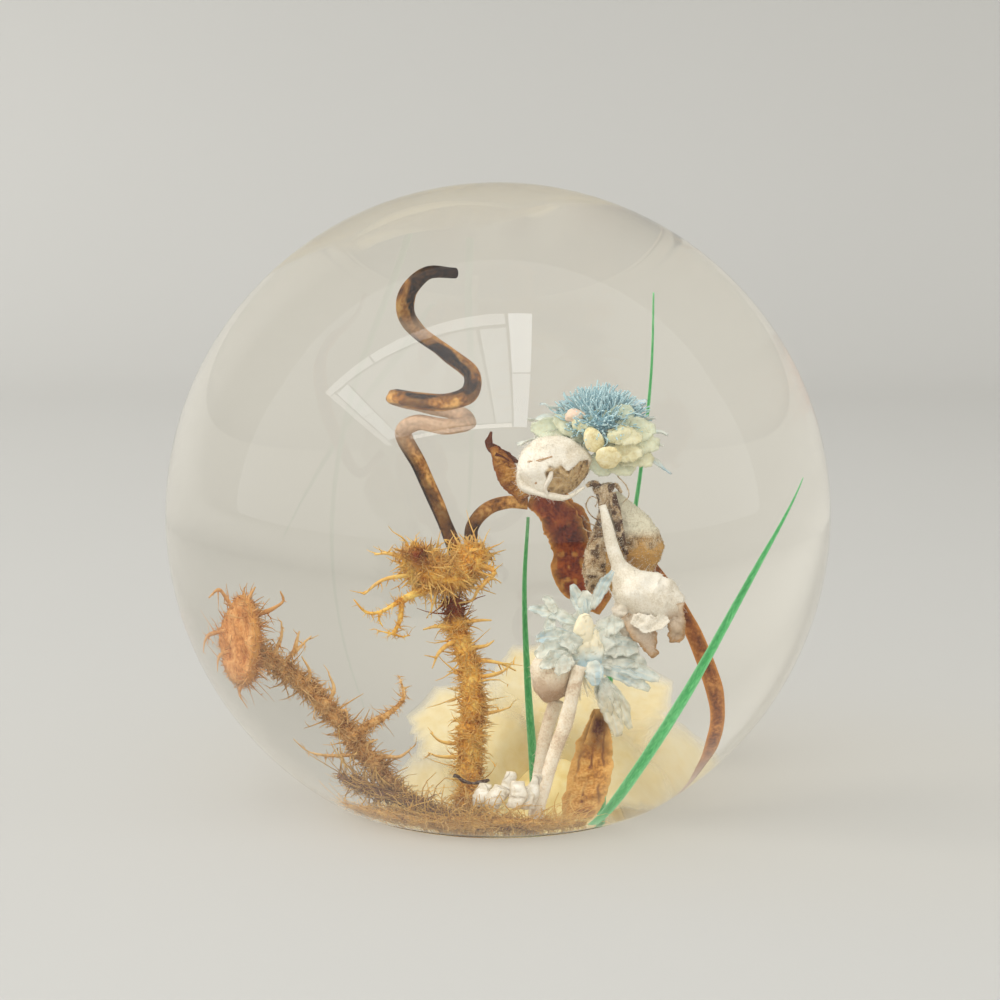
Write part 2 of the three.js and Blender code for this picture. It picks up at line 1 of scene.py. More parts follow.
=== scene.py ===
# A paperweight: one clear resin ball, ground flat at the foot, with dried lichen, dead leaves,
# flowers, woolly pods and grass cast into it. Lengths are in millimetres and become metres as
# each mesh is made.
import itertools
import math
import bpy
import numpy as np
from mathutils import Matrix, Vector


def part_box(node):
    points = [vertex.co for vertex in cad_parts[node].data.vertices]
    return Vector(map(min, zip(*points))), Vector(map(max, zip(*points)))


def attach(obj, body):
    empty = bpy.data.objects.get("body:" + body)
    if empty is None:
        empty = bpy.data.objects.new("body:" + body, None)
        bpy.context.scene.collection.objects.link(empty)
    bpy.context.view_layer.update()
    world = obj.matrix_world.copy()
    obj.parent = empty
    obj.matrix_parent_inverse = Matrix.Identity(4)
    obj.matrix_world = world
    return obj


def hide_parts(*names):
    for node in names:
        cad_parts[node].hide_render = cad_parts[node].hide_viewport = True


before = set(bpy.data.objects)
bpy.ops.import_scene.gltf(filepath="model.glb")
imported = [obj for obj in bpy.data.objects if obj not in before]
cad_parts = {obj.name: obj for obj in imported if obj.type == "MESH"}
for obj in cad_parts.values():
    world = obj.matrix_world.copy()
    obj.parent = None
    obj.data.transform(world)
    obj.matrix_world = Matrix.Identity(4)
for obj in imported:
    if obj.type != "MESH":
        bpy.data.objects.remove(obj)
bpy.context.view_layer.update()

# The view. The eye is a forearm's length away and a little above the ball, which stands
# almost in the middle of the picture.
MM = 0.001
ball_low, ball_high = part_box("resin_dome")
ball_radius = (ball_high[0] - ball_low[0]) / 2 / MM
centre_height = ball_high[2] / MM - ball_radius
eye_distance = 225
eye_rise = math.radians(9)

eye = bpy.data.objects.new("eye", bpy.data.cameras.new("eye"))
eye.data.lens = 70.9
eye.data.sensor_width = 36
eye.data.shift_x = 0.002
eye.data.shift_y = 0.015
eye.data.clip_start = 0.01
eye_height = centre_height + eye_distance * math.sin(eye_rise)
eye.location = (0, -eye_distance * math.cos(eye_rise) * MM, eye_height * MM)
eye.rotation_euler = (math.pi / 2 - eye_rise, 0, 0)
bpy.context.scene.collection.objects.link(eye)
bpy.context.scene.camera = eye
bpy.context.scene.view_settings.view_transform = "Standard"


# The table and the wall are one pale matt sheet that curves up behind the ball. The light is
# that of a white tent, whose panels overhead, above and to the left, show on the resin.
def add(tree, kind, inputs=None, **settings):
    """A node whose inputs are numbers, colours or other nodes' outputs."""
    made = tree.nodes.new(kind)
    for setting, value in settings.items():
        setattr(made, setting, value)
    for socket, value in (inputs or {}).items():
        if isinstance(value, bpy.types.NodeSocket):
            tree.links.new(value, made.inputs[socket])
        else:
            made.inputs[socket].default_value = value
    return made


def new_material(name):
    material = bpy.data.materials.new(name)
    material.use_nodes = True
    material.node_tree.nodes.clear()
    return material, material.node_tree


def tone(red, green, blue):
    """A colour as seen on a screen, from 0 to 255, made linear."""
    shares = [value / 255 for value in (red, green, blue)]
    return tuple(s / 12.92 if s <= 0.04045 else ((s + 0.055) / 1.055) ** 2.4 for s in shares) + (1,)


def smooth_mesh(name, points, faces, material):
    mesh = bpy.data.meshes.new(name)
    mesh.from_pydata((np.asarray(points) * MM).tolist(), [], faces)
    mesh.materials.append(material)
    mesh.polygons.foreach_set("use_smooth", [True] * len(faces))
    made = bpy.data.objects.new(name, mesh)
    bpy.context.scene.collection.objects.link(made)
    return made


def table_finish():
    material, tree = new_material("pale_matt_sheet")
    place = add(tree, "ShaderNodeTexCoord").outputs["Object"]
    cloud = add(tree, "ShaderNodeTexNoise", {"Vector": place, "Scale": 4.0, "Detail": 3.0})
    colour = add(tree, "ShaderNodeMix", {0: cloud.outputs["Fac"]}, data_type="RGBA")
    colour.inputs[6].default_value = tone(193, 192, 188)
    colour.inputs[7].default_value = tone(197, 196, 192)
    matt = add(tree, "ShaderNodeBsdfPrincipled", {"Base Color": colour.outputs[2], "Roughness": 0.8})
    matt.inputs["Specular IOR Level"].default_value = 0.2
    add(tree, "ShaderNodeOutputMaterial", {"Surface": matt.outputs[0]})
    return material


def sweep_sheet():
    """The sheet's long section, drawn across its width."""
    near, far, bend, top, half_width = -6000, 480, 260, 3500, 6000
    drop = 0.05
    section = [(near, -drop), (far, -drop)]
    for step in range(1, 17):
        angle = step / 16 * math.pi / 2
        section.append((far + bend * math.sin(angle), bend * (1 - math.cos(angle)) - drop))
    section.append((far + bend, top))
    points = [(side * half_width, y, z) for y, z in section for side in (-1, 1)]
    faces = [(2 * i, 2 * i + 1, 2 * i + 3, 2 * i + 2) for i in range(len(section) - 1)]
    return smooth_mesh("table_and_wall", points, faces, table_finish())


sweep_sheet()


# The tent's roof is one flat opening, seen from below: across runs to the left from its right
# edge and forward runs towards the eye from its back edge. Each panel is (name, across from,
# across to, forward from, forward to, brightness, colour).
tent_height = 600
tent_corner = (91, -132)
tent_turn = math.radians(5)
white, cool, warm = (1, 1, 1), (0.93, 0.97, 1), (1, 0.96, 0.9)
tent_panels = (
    ("right_hem_back", 0, 65, 0, 262, 4.2, cool), ("right_hem_front", 0, 65, 268, 620, 3.6, cool),
    ("right_side", 74, 150, 60, 575, 2.0, cool), ("back_hem_right", 74, 520, 0, 45, 2.4, white),
    ("back_hem_left", 528, 840, 0, 45, 2.2, white), ("middle", 160, 690, 56, 572, 1.15, white),
    ("left_side_back", 700, 788, 60, 300, 2.6, cool), ("left_side_front", 700, 788, 306, 560, 2.4, cool),
    ("left_hem", 798, 840, 52, 620, 1.8, white), ("front_hem_right", 74, 330, 585, 620, 4.2, warm),
    ("front_hem_left", 336, 640, 585, 620, 3.4, warm),
)
for name, right, left, back, front, brightness, colour in tent_panels:
    across, forward = (right + left) / 2, (back + front) / 2
    light = bpy.data.lights.new(name, "AREA")
    light.shape = "RECTANGLE"
    light.size, light.size_y = (left - right) * MM, (front - back) * MM
    light.energy = brightness * math.pi * light.size * light.size_y
    light.color = colour
    panel = bpy.data.objects.new(name, light)
    panel.location = (
        (tent_corner[0] - across * math.cos(tent_turn) + forward * math.sin(tent_turn)) * MM,
        (tent_corner[1] - across * math.sin(tent_turn) - forward * math.cos(tent_turn)) * MM,
        tent_height * MM,
    )
    panel.rotation_euler = (0, 0, tent_turn)
    panel.visible_transmission = False
    bpy.context.scene.collection.objects.link(panel)

# A broad lamp outside the tent gives the light its side, and has no reflection of its own
side_light = bpy.data.lights.new("side_light", "AREA")
side_light.size = 0.5
side_light.energy = 5
side_lamp = bpy.data.objects.new("side_lamp", side_light)
side_lamp.location = (-0.95, 0.1, 0.75)
side_lamp.rotation_euler = (0, math.radians(-52), 0)
side_lamp.visible_transmission = False
side_lamp.visible_glossy = False
bpy.context.scene.collection.objects.link(side_lamp)

day = bpy.data.worlds.new("tent_walls")
day.use_nodes = True
day.node_tree.nodes["Background"].inputs["Color"].default_value = tone(250, 249, 246)
day.node_tree.nodes["Background"].inputs["Strength"].default_value = 1.0
bpy.context.scene.world = day


# The resin is one ball of clear casting resin, polished all over and ground flat at the foot.
# It was poured in two goes, which can't be told apart once it has set.
foot_bevel = 0.5
ball_sides = 224
ball_rings = 112


def resin_finish():
    material, tree = new_material("clear_resin_polished")
    place = add(tree, "ShaderNodeTexCoord").outputs["Object"]
    height = add(tree, "ShaderNodeSeparateXYZ", {"Vector": place})
    ground = add(tree, "ShaderNodeMapRange", {"Value": height.outputs["Z"]})
    for socket, value in zip((1, 2, 3, 4), (0.0, 0.3 * MM, 0.3, 0.0)):
        ground.inputs[socket].default_value = value
    glass = add(tree, "ShaderNodeBsdfPrincipled", {"Roughness": ground.outputs[0]})
    glass.inputs["Base Color"].default_value = (1, 1, 1, 1)
    glass.inputs["Transmission Weight"].default_value = 1
    glass.inputs["IOR"].default_value = 1.5
    through = add(tree, "ShaderNodeBsdfTransparent", {"Color": (1.0, 0.985, 0.96, 1)})
    path = add(tree, "ShaderNodeLightPath")
    either = add(tree, "ShaderNodeMath",
                 {0: path.outputs["Is Shadow Ray"], 1: path.outputs["Is Diffuse Ray"]},
                 operation="MAXIMUM")
    both = add(tree, "ShaderNodeMixShader", {0: either.outputs[0]})
    tree.links.new(glass.outputs[0], both.inputs[1])
    tree.links.new(through.outputs[0], both.inputs[2])
    body = add(tree, "ShaderNodeVolumeAbsorption", {"Color": (0.955, 0.83, 0.5, 1), "Density": 3.5})
    output = add(tree, "ShaderNodeOutputMaterial", {"Surface": both.outputs[0]})
    tree.links.new(body.outputs[0], output.inputs["Volume"])
    return material


def turned_ball():
    """The ball's half outline turned about its upright axis."""
    foot_radius = math.sqrt(ball_radius**2 - centre_height**2) - 0.2
    outline = []
    for step in range(1, 7):
        angle = step / 6 * math.pi / 2
        outline.append((foot_radius - foot_bevel * (1 - math.sin(angle)),
                        foot_bevel * (1 - math.cos(angle))))
    start = math.asin((outline[-1][1] - centre_height) / ball_radius)
    for ring in range(1, ball_rings):
        angle = start + (math.pi / 2 - start) * ring / ball_rings
        outline.append((ball_radius * math.cos(angle), centre_height + ball_radius * math.sin(angle)))
    turns = [2 * math.pi * side / ball_sides for side in range(ball_sides)]
    points = [(r * math.cos(a), r * math.sin(a), z) for r, z in outline for a in turns]
    faces = []
    for ring in range(len(outline) - 1):
        for side in range(ball_sides):
            after = (side + 1) % ball_sides
            low, high = ring * ball_sides, (ring + 1) * ball_sides
            faces.append((low + side, low + after, high + after, high + side))
    last = (len(outline) - 1) * ball_sides
    points += [(0, 0, centre_height + ball_radius), (0, 0, 0)]
    for side in range(ball_sides):
        after = (side + 1) % ball_sides
        faces.append((last + side, last + after, len(points) - 2))
        faces.append((after, side, len(points) - 1))
    return points, faces


def belongs(made, slot, *nodes):
    """The piece is part of the paperweight and stands for these CAD nodes."""
    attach(made, "root")
    if nodes:
        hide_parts(*nodes)


resin = smooth_mesh("resin_ball", *turned_ball(), resin_finish())
belongs(resin, "clear_resin", "resin_base", "resin_dome")


# The lichen is a dried beard lichen in two limbs, left and centre. Each limb is one grown
# thing, bristly all over, with a cup at its end and a thin twig on its side.
def lumps(points, size, seed=0):
    """Smooth random values from -1 to 1, in lumps about size across."""
    places = np.asarray(points, float) / size + 19.7 * (seed + 1)
    cell = np.floor(places).astype(np.int64)
    part = places - cell
    part = part * part * (3 - 2 * part)
    total = 0.0
    for corner in itertools.product((0, 1), repeat=3):
        x, y, z = np.moveaxis(cell + np.array(corner), -1, 0)
        mixed = ((x * 73856093) ^ (y * 19349663) ^ (z * 83492791)) & 0xFFFF
        value = np.sin(mixed * 12.9898) * 43758.5453
        weight = np.prod(np.where(corner, part, 1 - part), axis=-1)
        total = total + (value - np.floor(value)) * weight
    return 2 * total - 1


def unit(vectors):
    vectors = np.asarray(vectors, float)
    return vectors / np.maximum(np.linalg.norm(vectors, axis=-1, keepdims=True), 1e-9)


def smooth_route(points, count):
    """Evenly spaced places on a smooth curve through the points."""
    points = np.array(points, float)
    held = [2 * points[0] - points[1], *points, 2 * points[-1] - points[-2]]
    dense = []
    share = np.linspace(0, 1, 40, endpoint=False)[:, None]
    for a, b, c, d in zip(held, held[1:], held[2:], held[3:]):
        before, span, after = (math.sqrt(np.linalg.norm(q - p)) for p, q in ((a, b), (b, c), (c, d)))
        leave = ((b - a) / before - (c - a) / (before + span) + (c - b) / span) * span
        arrive = ((c - b) / span - (d - b) / (span + after) + (d - c) / after) * span
        s2, s3 = share**2, share**3
        dense.append((2 * s3 - 3 * s2 + 1) * b + (s3 - 2 * s2 + share) * leave
                     + (3 * s2 - 2 * s3) * c + (s3 - s2) * arrive)
    dense = np.vstack(dense + [points[-1:]])
    gone = np.concatenate([[0], np.cumsum(np.linalg.norm(np.diff(dense, axis=0), axis=1))])
    even = np.linspace(0, gone[-1], count)
    return np.stack([np.interp(even, gone, dense[:, k]) for k in range(3)], axis=1)


def stations(values, count):
    """A list that spans the whole length, read off at count places."""
    return np.interp(np.linspace(0, 1, count), np.linspace(0, 1, len(values)), values)


def frames_on(route, face=None):
    """Along, side and up directions at each place on a route."""
    along = unit(np.gradient(route, axis=0))
    if face is not None:
        up = unit(np.array(face, float) - along * (along @ np.array(face, float))[:, None])
        return along, np.cross(up, along), up
    up = [unit(np.cross(along[0], (0.31, 0.87, 0.38)))]
    for direction in along[1:]:
        up.append(unit(up[-1] - direction * (up[-1] @ direction)))
    up = np.array(up)
    return along, np.cross(up, along), up


def limb(route, widths, thicks=None, face=None, rings=60, sides=16, relief=None):
    """Rings of points round a route, with the place of each on the straightened limb."""
    route = smooth_route(route, rings)
    _, side, up = frames_on(route, face)
    wide = stations(widths, rings)[:, None, None]
    deep = wide if thicks is None else stations(thicks, rings)[:, None, None]
    angle = np.linspace(0, 2 * math.pi, sides, endpoint=False)[None, :, None]
    gone = np.concatenate([[0], np.cumsum(np.linalg.norm(np.diff(route, axis=0), axis=1))])
    straight = np.concatenate([
        wide * np.cos(angle), deep * np.sin(angle),
        np.broadcast_to(gone[:, None, None], (rings, sides, 1)),
    ], axis=2)
    swell = 1 if relief is None else relief(straight)[:, :, None]
    rings_out = route[:, None] + swell * (
        side[:, None] * wide * np.cos(angle) + up[:, None] * deep * np.sin(angle))
    return rings_out, straight


def lumpy(seed, sizes, depths, stretch=1.0):
    """Lumps of two sizes over a limb. The first are drawn out along it if stretch is below 1."""
    def relief(straight):
        first = lumps(straight * (1, 1, stretch), sizes[0], seed)
        return 1 + depths[0] * first + depths[1] * lumps(straight, sizes[1], seed + 1)
    return relief


def closed_tube(rings_of_points, straight):
    """A skin over rings of points, closed at both ends, with each point's straight place."""
    rings, sides = rings_of_points.shape[:2]
    points = [rings_of_points.reshape(-1, 3), rings_of_points[[0, -1]].mean(axis=1)]
    places = [straight.reshape(-1, 3), straight[[0, -1]].mean(axis=1)]
    faces = []
    for side in range(sides):
        after = (side + 1) % sides
        for ring in range(rings - 1):
            low, high = ring * sides, (ring + 1) * sides
            faces.append((low + side, low + after, high + after, high + side))
        last = (rings - 1) * sides
        faces.append((side, rings * sides, after))
        faces.append((last + side, last + after, rings * sides + 1))
    return np.vstack(points), faces, {"straight": np.vstack(places)}


def together(*shells):
    """Several closed skins as one, with the values that any of them has at each point."""
    names = {name: value for shell in shells for name, value in shell[2].items()}
    points, faces, values = [], [], {name: [] for name in names}
    for shell_points, shell_faces, shell_values in shells:
        start = sum(len(some) for some in points)
        points.append(shell_points)
        faces += [tuple(start + corner for corner in face) for face in shell_faces]
        for name, sample in names.items():
            none = np.zeros((len(shell_points),) + np.shape(sample)[1:])
            values[name].append(shell_values.get(name, none))
    return np.vstack(points), faces, {name: np.concatenate(some) for name, some in values.items()}


def plant_piece(name, shell, material):
    """A plant's mesh, with its point values as attributes."""
    points, faces, values = shell
    made = smooth_mesh(name, points, faces, material)
    for value_name, value in values.items():
        kind = "FLOAT_VECTOR" if value.ndim == 2 else "FLOAT"
        field = made.data.attributes.new(value_name, kind, "POINT")
        field.data.foreach_set("vector" if value.ndim == 2 else "value",
                               value.astype(np.float32).ravel())
    return made


def dry_grain_group():
    """Patches and fine specks for dry plant matter, read at any place on it."""
    group = bpy.data.node_groups.new("dry_grain", "ShaderNodeTree")
    for socket, kind in (("Place", "Vector"), ("Patch Size", "Float"), ("Speck Size", "Float")):
        group.interface.new_socket(socket, in_out="INPUT", socket_type=f"NodeSocket{kind}")
    for socket in ("Patches", "Specks", "Height"):
        group.interface.new_socket(socket, in_out="OUTPUT", socket_type="NodeSocketFloat")
    given = add(group, "NodeGroupInput")
    result = add(group, "NodeGroupOutput")

    def noise(size_socket, detail, distortion):
        scale = add(group, "ShaderNodeMath", {0: 1.0, 1: given.outputs[size_socket]}, operation="DIVIDE")
        return add(group, "ShaderNodeTexNoise", {
            "Vector": given.outputs["Place"], "Scale": scale.outputs[0], "Detail": detail,
            "Distortion": distortion,
        }).outputs["Fac"]

    patches = noise("Patch Size", 3.0, 0.6)
    specks = noise("Speck Size", 2.0, 0.2)
    for socket, source in (("Patches", patches), ("Specks", specks)):
        spread = add(group, "ShaderNodeMapRange", {"Value": source, 1: 0.3, 2: 0.7})
        group.links.new(spread.outputs[0], result.inputs[socket])
    height = add(group, "ShaderNodeMath", {0: patches, 1: specks}, operation="ADD")
    group.links.new(height.outputs[0], result.inputs["Height"])
    return group


dry_grain = dry_grain_group()


def plant_finish(name, deep, middle, light, patch, speck, bump, roughness=0.8, tints=(),
                 lengthwise=False, clear=None):
    """Dry matter seen inside resin. Sizes are in millimetres, tints are (attribute, colour)
    pairs, and clear is (attribute, opacity where it is 1)."""
    material, tree = new_material(name)
    scale = MM
    if lengthwise:
        place = add(tree, "ShaderNodeAttribute", attribute_name="straight").outputs["Vector"]
        scale = 1
    else:
        place = add(tree, "ShaderNodeTexCoord").outputs["Object"]
    grain = add(tree, "ShaderNodeGroup", node_tree=dry_grain)
    tree.links.new(place, grain.inputs["Place"])
    grain.inputs["Patch Size"].default_value = patch * scale
    grain.inputs["Speck Size"].default_value = speck * scale
    blend = add(tree, "ShaderNodeMix", {0: 0.4, 2: grain.outputs["Patches"], 3: grain.outputs["Specks"]})
    ramp = add(tree, "ShaderNodeValToRGB", {0: blend.outputs[0]})
    stops = ramp.color_ramp.elements
    stops[0].position, stops[0].color = 0.15, tone(*deep)
    stops[1].position, stops[1].color = 0.85, tone(*light)
    stops.new(0.5).color = tone(*middle)
    colour = ramp.outputs["Color"]
    for attribute, tint in tints:
        value = add(tree, "ShaderNodeAttribute", attribute_name=attribute).outputs["Fac"]
        uneven = add(tree, "ShaderNodeMapRange", {"Value": grain.outputs["Specks"], 3: 0.75, 4: 1.15})
        share = add(tree, "ShaderNodeMath", {0: value, 1: uneven.outputs[0]}, operation="MULTIPLY",
                    use_clamp=True)
        mixed = add(tree, "ShaderNodeMix", {0: share.outputs[0], 6: colour}, data_type="RGBA")
        mixed.inputs[7].default_value = tone(*tint)
        colour = mixed.outputs[2]
    rough = add(tree, "ShaderNodeMapRange",
                {"Value": grain.outputs["Specks"], 3: roughness - 0.1, 4: roughness + 0.1})
    relief = add(tree, "ShaderNodeBump",
                 {"Height": grain.outputs["Height"], "Distance": bump * MM, "Strength": 1.0})
    surface = add(tree, "ShaderNodeBsdfPrincipled", {
        "Base Color": colour, "Roughness": rough.outputs[0], "Normal": relief.outputs[0],
    })
    surface.inputs["Specular IOR Level"].default_value = 0.15
    if clear is not None:
        attribute, opacity = clear
        value = add(tree, "ShaderNodeAttribute", attribute_name=attribute).outputs["Fac"]
        alpha = add(tree, "ShaderNodeMapRange", {"Value": value, 3: 1.0, 4: opacity})
        tree.links.new(alpha.outputs[0], surface.inputs["Alpha"])
    add(tree, "ShaderNodeOutputMaterial", {"Surface": surface.outputs[0]})
    return material


def bristle_tree():
    """Tapered curved bristles all over a mesh, thickest where its attribute hairy is 1."""
    tree = bpy.data.node_groups.new("bristles", "GeometryNodeTree")
    tree.is_modifier = True
    for socket, kind in (
        ("Core", "Geometry"), ("Per Square Millimetre", "Float"), ("Length", "Float"),
        ("Shortest", "Float"),
        ("Girth", "Float"), ("Tip Girth", "Float"), ("Lean", "Float"), ("Curl", "Float"),
        ("Wave", "Float"),
        ("Own Hair", "Float"), ("Rings", "Int"), ("Seed", "Int"), ("Material", "Material"),
    ):
        tree.interface.new_socket(socket, in_out="INPUT", socket_type=f"NodeSocket{kind}")
    tree.interface.new_socket("Bristled", in_out="OUTPUT", socket_type="NodeSocketGeometry")
    given = add(tree, "NodeGroupInput").outputs

    def times(a, b):
        return add(tree, "ShaderNodeMath", {0: a, 1: b}, operation="MULTIPLY").outputs[0]

    def read(attribute, kind="FLOAT"):
        return add(tree, "GeometryNodeInputNamedAttribute", {"Name": attribute},
                   data_type=kind).outputs[0]

    def chance(low, high, step):
        seed = add(tree, "FunctionNodeIntegerMath", {0: given["Seed"], 1: step},
                   operation="ADD").outputs[0]
        if isinstance(low, tuple):
            made = add(tree, "FunctionNodeRandomValue", {0: low, 1: high, 8: seed},
                       data_type="FLOAT_VECTOR")
            return made.outputs[0]
        return add(tree, "FunctionNodeRandomValue", {2: low, 3: high, 8: seed},
                   data_type="FLOAT").outputs[1]

    def keep(geometry, attribute, value, kind="FLOAT", domain="POINT"):
        stored = add(tree, "GeometryNodeStoreNamedAttribute", {"Geometry": geometry, "Name": attribute},
                     data_type=kind, domain=domain)
        tree.links.new(value, stored.inputs["Value"])
        return stored.outputs[0]

    line = add(tree, "GeometryNodeCurvePrimitiveLine",
               {"Start": (0, 0, -0.05), "End": (0, 0, 1)}).outputs[0]
    line = add(tree, "GeometryNodeResampleCurve", {"Curve": line, "Count": given["Rings"]}).outputs[0]
    way = add(tree, "GeometryNodeSplineParameter").outputs["Factor"]
    line = keep(line, "tip", way)
    ring = add(tree, "GeometryNodeCurvePrimitiveCircle", {"Resolution": 3, "Radius": 1.0}).outputs[0]
    taper = add(tree, "ShaderNodeMapRange", {"Value": way, 3: 1.0, 4: given["Tip Girth"]}).outputs[0]
    bristle = add(tree, "GeometryNodeCurveToMesh", {
        "Curve": line, "Profile Curve": ring, "Scale": taper, "Fill Caps": True,
    }).outputs[0]

    density = times(times(given["Per Square Millimetre"], 1 / MM**2), read("hairy"))
    dots = add(tree, "GeometryNodeDistributePointsOnFaces", {
        "Mesh": given["Core"], "Density": density, "Seed": given["Seed"],
    })
    lean = add(tree, "ShaderNodeVectorMath",
               {0: chance((-1, -1, -3), (1, 1, 3), 2), "Scale": given["Lean"]},
               operation="SCALE").outputs[0]
    turned = add(tree, "FunctionNodeRotateRotation", {0: dots.outputs["Rotation"], 1: lean},
                 rotation_space="LOCAL").outputs[0]
    share = add(tree, "ShaderNodeMapRange",
                {"Value": chance(0.0, 1.0, 3), 3: given["Shortest"], 4: 1.0}).outputs[0]
    length = times(times(given["Length"], MM), share)
    girth = times(times(given["Girth"], MM), chance(0.7, 1.2, 4))
    placed = add(tree, "GeometryNodeInstanceOnPoints", {
        "Points": dots.outputs["Points"], "Instance": bristle, "Rotation": turned,
        "Scale": add(tree, "ShaderNodeCombineXYZ", {0: girth, 1: girth, 2: length}).outputs[0],
    }).outputs[0]
    placed = keep(placed, "swing", chance((-1, -1, -1), (1, 1, 1), 5), "FLOAT_VECTOR", "INSTANCE")
    placed = keep(placed, "reach", length, domain="INSTANCE")
    placed = keep(placed, "shade", chance(0.0, 1.0, 6), domain="INSTANCE")
    placed = keep(placed, "hairy", given["Own Hair"], domain="INSTANCE")
    loose = add(tree, "GeometryNodeRealizeInstances", {0: placed}).outputs[0]

    swing = read("swing", "FLOAT_VECTOR")
    bend = times(times(times(read("tip"), read("tip")), read("reach")), given["Curl"])
    offset = add(tree, "ShaderNodeVectorMath", {0: swing, "Scale": bend}, operation="SCALE")
    bent = add(tree, "GeometryNodeSetPosition",
               {"Geometry": loose, "Offset": offset.outputs[0]}).outputs[0]
    ripple = add(tree, "ShaderNodeMath", {0: times(read("tip"), 7.0)}, operation="SINE").outputs[0]
    ripple = times(times(times(ripple, read("tip")), read("reach")), given["Wave"])
    sideways = add(tree, "ShaderNodeVectorMath", {0: swing, 1: (1.0, -1.0, 0.3)},
                   operation="CROSS_PRODUCT")
    offset = add(tree, "ShaderNodeVectorMath", {0: sideways.outputs[0], "Scale": ripple},
                 operation="SCALE")
    bent = add(tree, "GeometryNodeSetPosition",
               {"Geometry": bent, "Offset": offset.outputs[0]}).outputs[0]
    rounded = add(tree, "GeometryNodeSetShadeSmooth", {0: bent}).outputs[0]
    joined = add(tree, "GeometryNodeJoinGeometry")
    for part in (rounded, given["Core"]):
        tree.links.new(part, joined.inputs[0])
    whole = add(tree, "GeometryNodeSetMaterial", {
        "Geometry": joined.outputs[0], "Material": given["Material"],
    }).outputs[0]
    add(tree, "NodeGroupOutput", {0: whole})
    return tree


bristles = bristle_tree()


def grow(made, material, **sizes):
    """Grows bristles on a piece and leaves it a plain mesh. Sizes are named as the tree's
    inputs are, in lower case with underscores."""
    growth = made.modifiers.new("growth", "NODES")
    growth.node_group = bristles
    for item in bristles.interface.items_tree:
        if item.in_out == "INPUT" and item.name.lower().replace(" ", "_") in sizes:
            growth[item.identifier] = sizes[item.name.lower().replace(" ", "_")]
        elif item.name == "Material":
            growth[item.identifier] = material
    seen = made.evaluated_get(bpy.context.evaluated_depsgraph_get())
    grown = bpy.data.meshes.new_from_object(seen)
    made.modifiers.remove(growth)
    made.data = grown
    return made


def bristly_limb(route, widths, rings, seed, knobs=0.25, sides=16):
    """A limb's core, lumpy and hairy all along."""
    relief = lumpy(seed, (1.1, 0.4), (knobs, 0.5 * knobs))
    shell = closed_tube(*limb(route, widths, rings=rings, sides=sides, relief=relief))
    shell[2]["hairy"] = np.ones(len(shell[0]))
    return shell


def long_threads(routes, girth, hair, seed):
    """Single threads that stand out from a limb, each thinner towards its end."""
    rings, sides = 36, 8
    shells = []
    for order, route in enumerate(routes):
        shell = bristly_limb(route, [girth, 0.8 * girth, 0.3 * girth], rings, seed + order, 0.2, sides)
        shell[2]["hairy"] *= hair
        shell[2]["tip"] = np.concatenate([stations([0, 1], rings).repeat(sides), [0, 1]])
        shells.append(shell)
    return shells


def lichen_piece(name, shell, finish, node, *coats):
    """A lichen part with its coats of bristles."""
    made = plant_piece(name, shell, finish)
    for coat in coats:
        grow(made, finish, **coat)
    belongs(made, "lichen", node)


lichen_gold = plant_finish(
    "beard_lichen_gold", (176, 104, 26), (240, 184, 82), (255, 226, 132), patch=1.6, speck=0.25,
    bump=0.05,
    tints=(("tip", (236, 200, 128)), ("rust", (134, 58, 18))))
lichen_tan = plant_finish(
    "beard_lichen_tan", (146, 92, 42), (220, 168, 100), (250, 212, 150), patch=1.4, speck=0.25,
    bump=0.05,
    tints=(("tip", (224, 188, 134)), ("rust", (150, 112, 88))))
long_coat = dict(per_square_millimetre=1.3, length=2.2, shortest=0.3, girth=0.13, tip_girth=0.2,
                 lean=0.5,
                 curl=0.6, wave=0.05, own_hair=0.06, rings=5)
short_coat = dict(per_square_millimetre=20.0, length=0.85, shortest=0.3, girth=0.085, tip_girth=0.3,
                  lean=0.9,
                  curl=0.7, wave=0.1, own_hair=0.0, rings=5)

centre_stem_route = [
    (-2.6, -6.4, 3), (-2.4, -6, 9.9), (-2.2, -6, 14), (-2, -5.6, 18.6), (-2.4, -5, 21.4),
    (-3.1, -4.6, 24),
    (-3.6, -4.4, 26.4),
]
centre_threads = (
    [(-3.3, -4.8, 24.2), (-5.0, -5.6, 24.3), (-5.9, -6.0, 24.1)],
    [(-3.0, -4.9, 23.4), (-4.6, -5.8, 22.3), (-5.2, -6.0, 21.0)],
    [(-2.8, -4.8, 24.6), (-1.4, -5.4, 24.8), (-0.5, -5.4, 24.8)],
    [(-2.3, -5.0, 22.6), (-0.9, -5.4, 22.8), (-0.3, -5.4, 23.2)],
    [(-2.2, -5.2, 21.7), (0.2, -5.6, 21.4), (1.4, -5.4, 20.8)],
    [(-2.1, -5.4, 20.2), (0.2, -6.0, 20.7), (1.1, -6.0, 21.4)],
    [(-2.1, -5.8, 17.2), (0.0, -6.2, 17.6), (0.9, -6.2, 17.9)],
    [(-2.3, -6.0, 14.8), (-4.6, -6.3, 15.1), (-5.4, -6.5, 15.8)],
    [(-2.3, -6.0, 13.8), (-4.8, -6.4, 13.8), (-5.6, -6.6, 14.1)],
)
core = bristly_limb(centre_stem_route, [0.95, 0.85, 0.8, 0.6], rings=110, seed=31)
core[2]["rust"] = np.clip(1.8 - np.abs(core[0][:, 2] - 26) / 0.9, 0, 1) + 0.45 * (core[0][:, 2] < 9)
lichen_piece("centre_lichen_limb", together(core, *long_threads(centre_threads, 0.2, 0.08, 301)),
             lichen_gold,
             "lichen_centre_stem", {**long_coat, "seed": 31}, {**short_coat, "seed": 32})

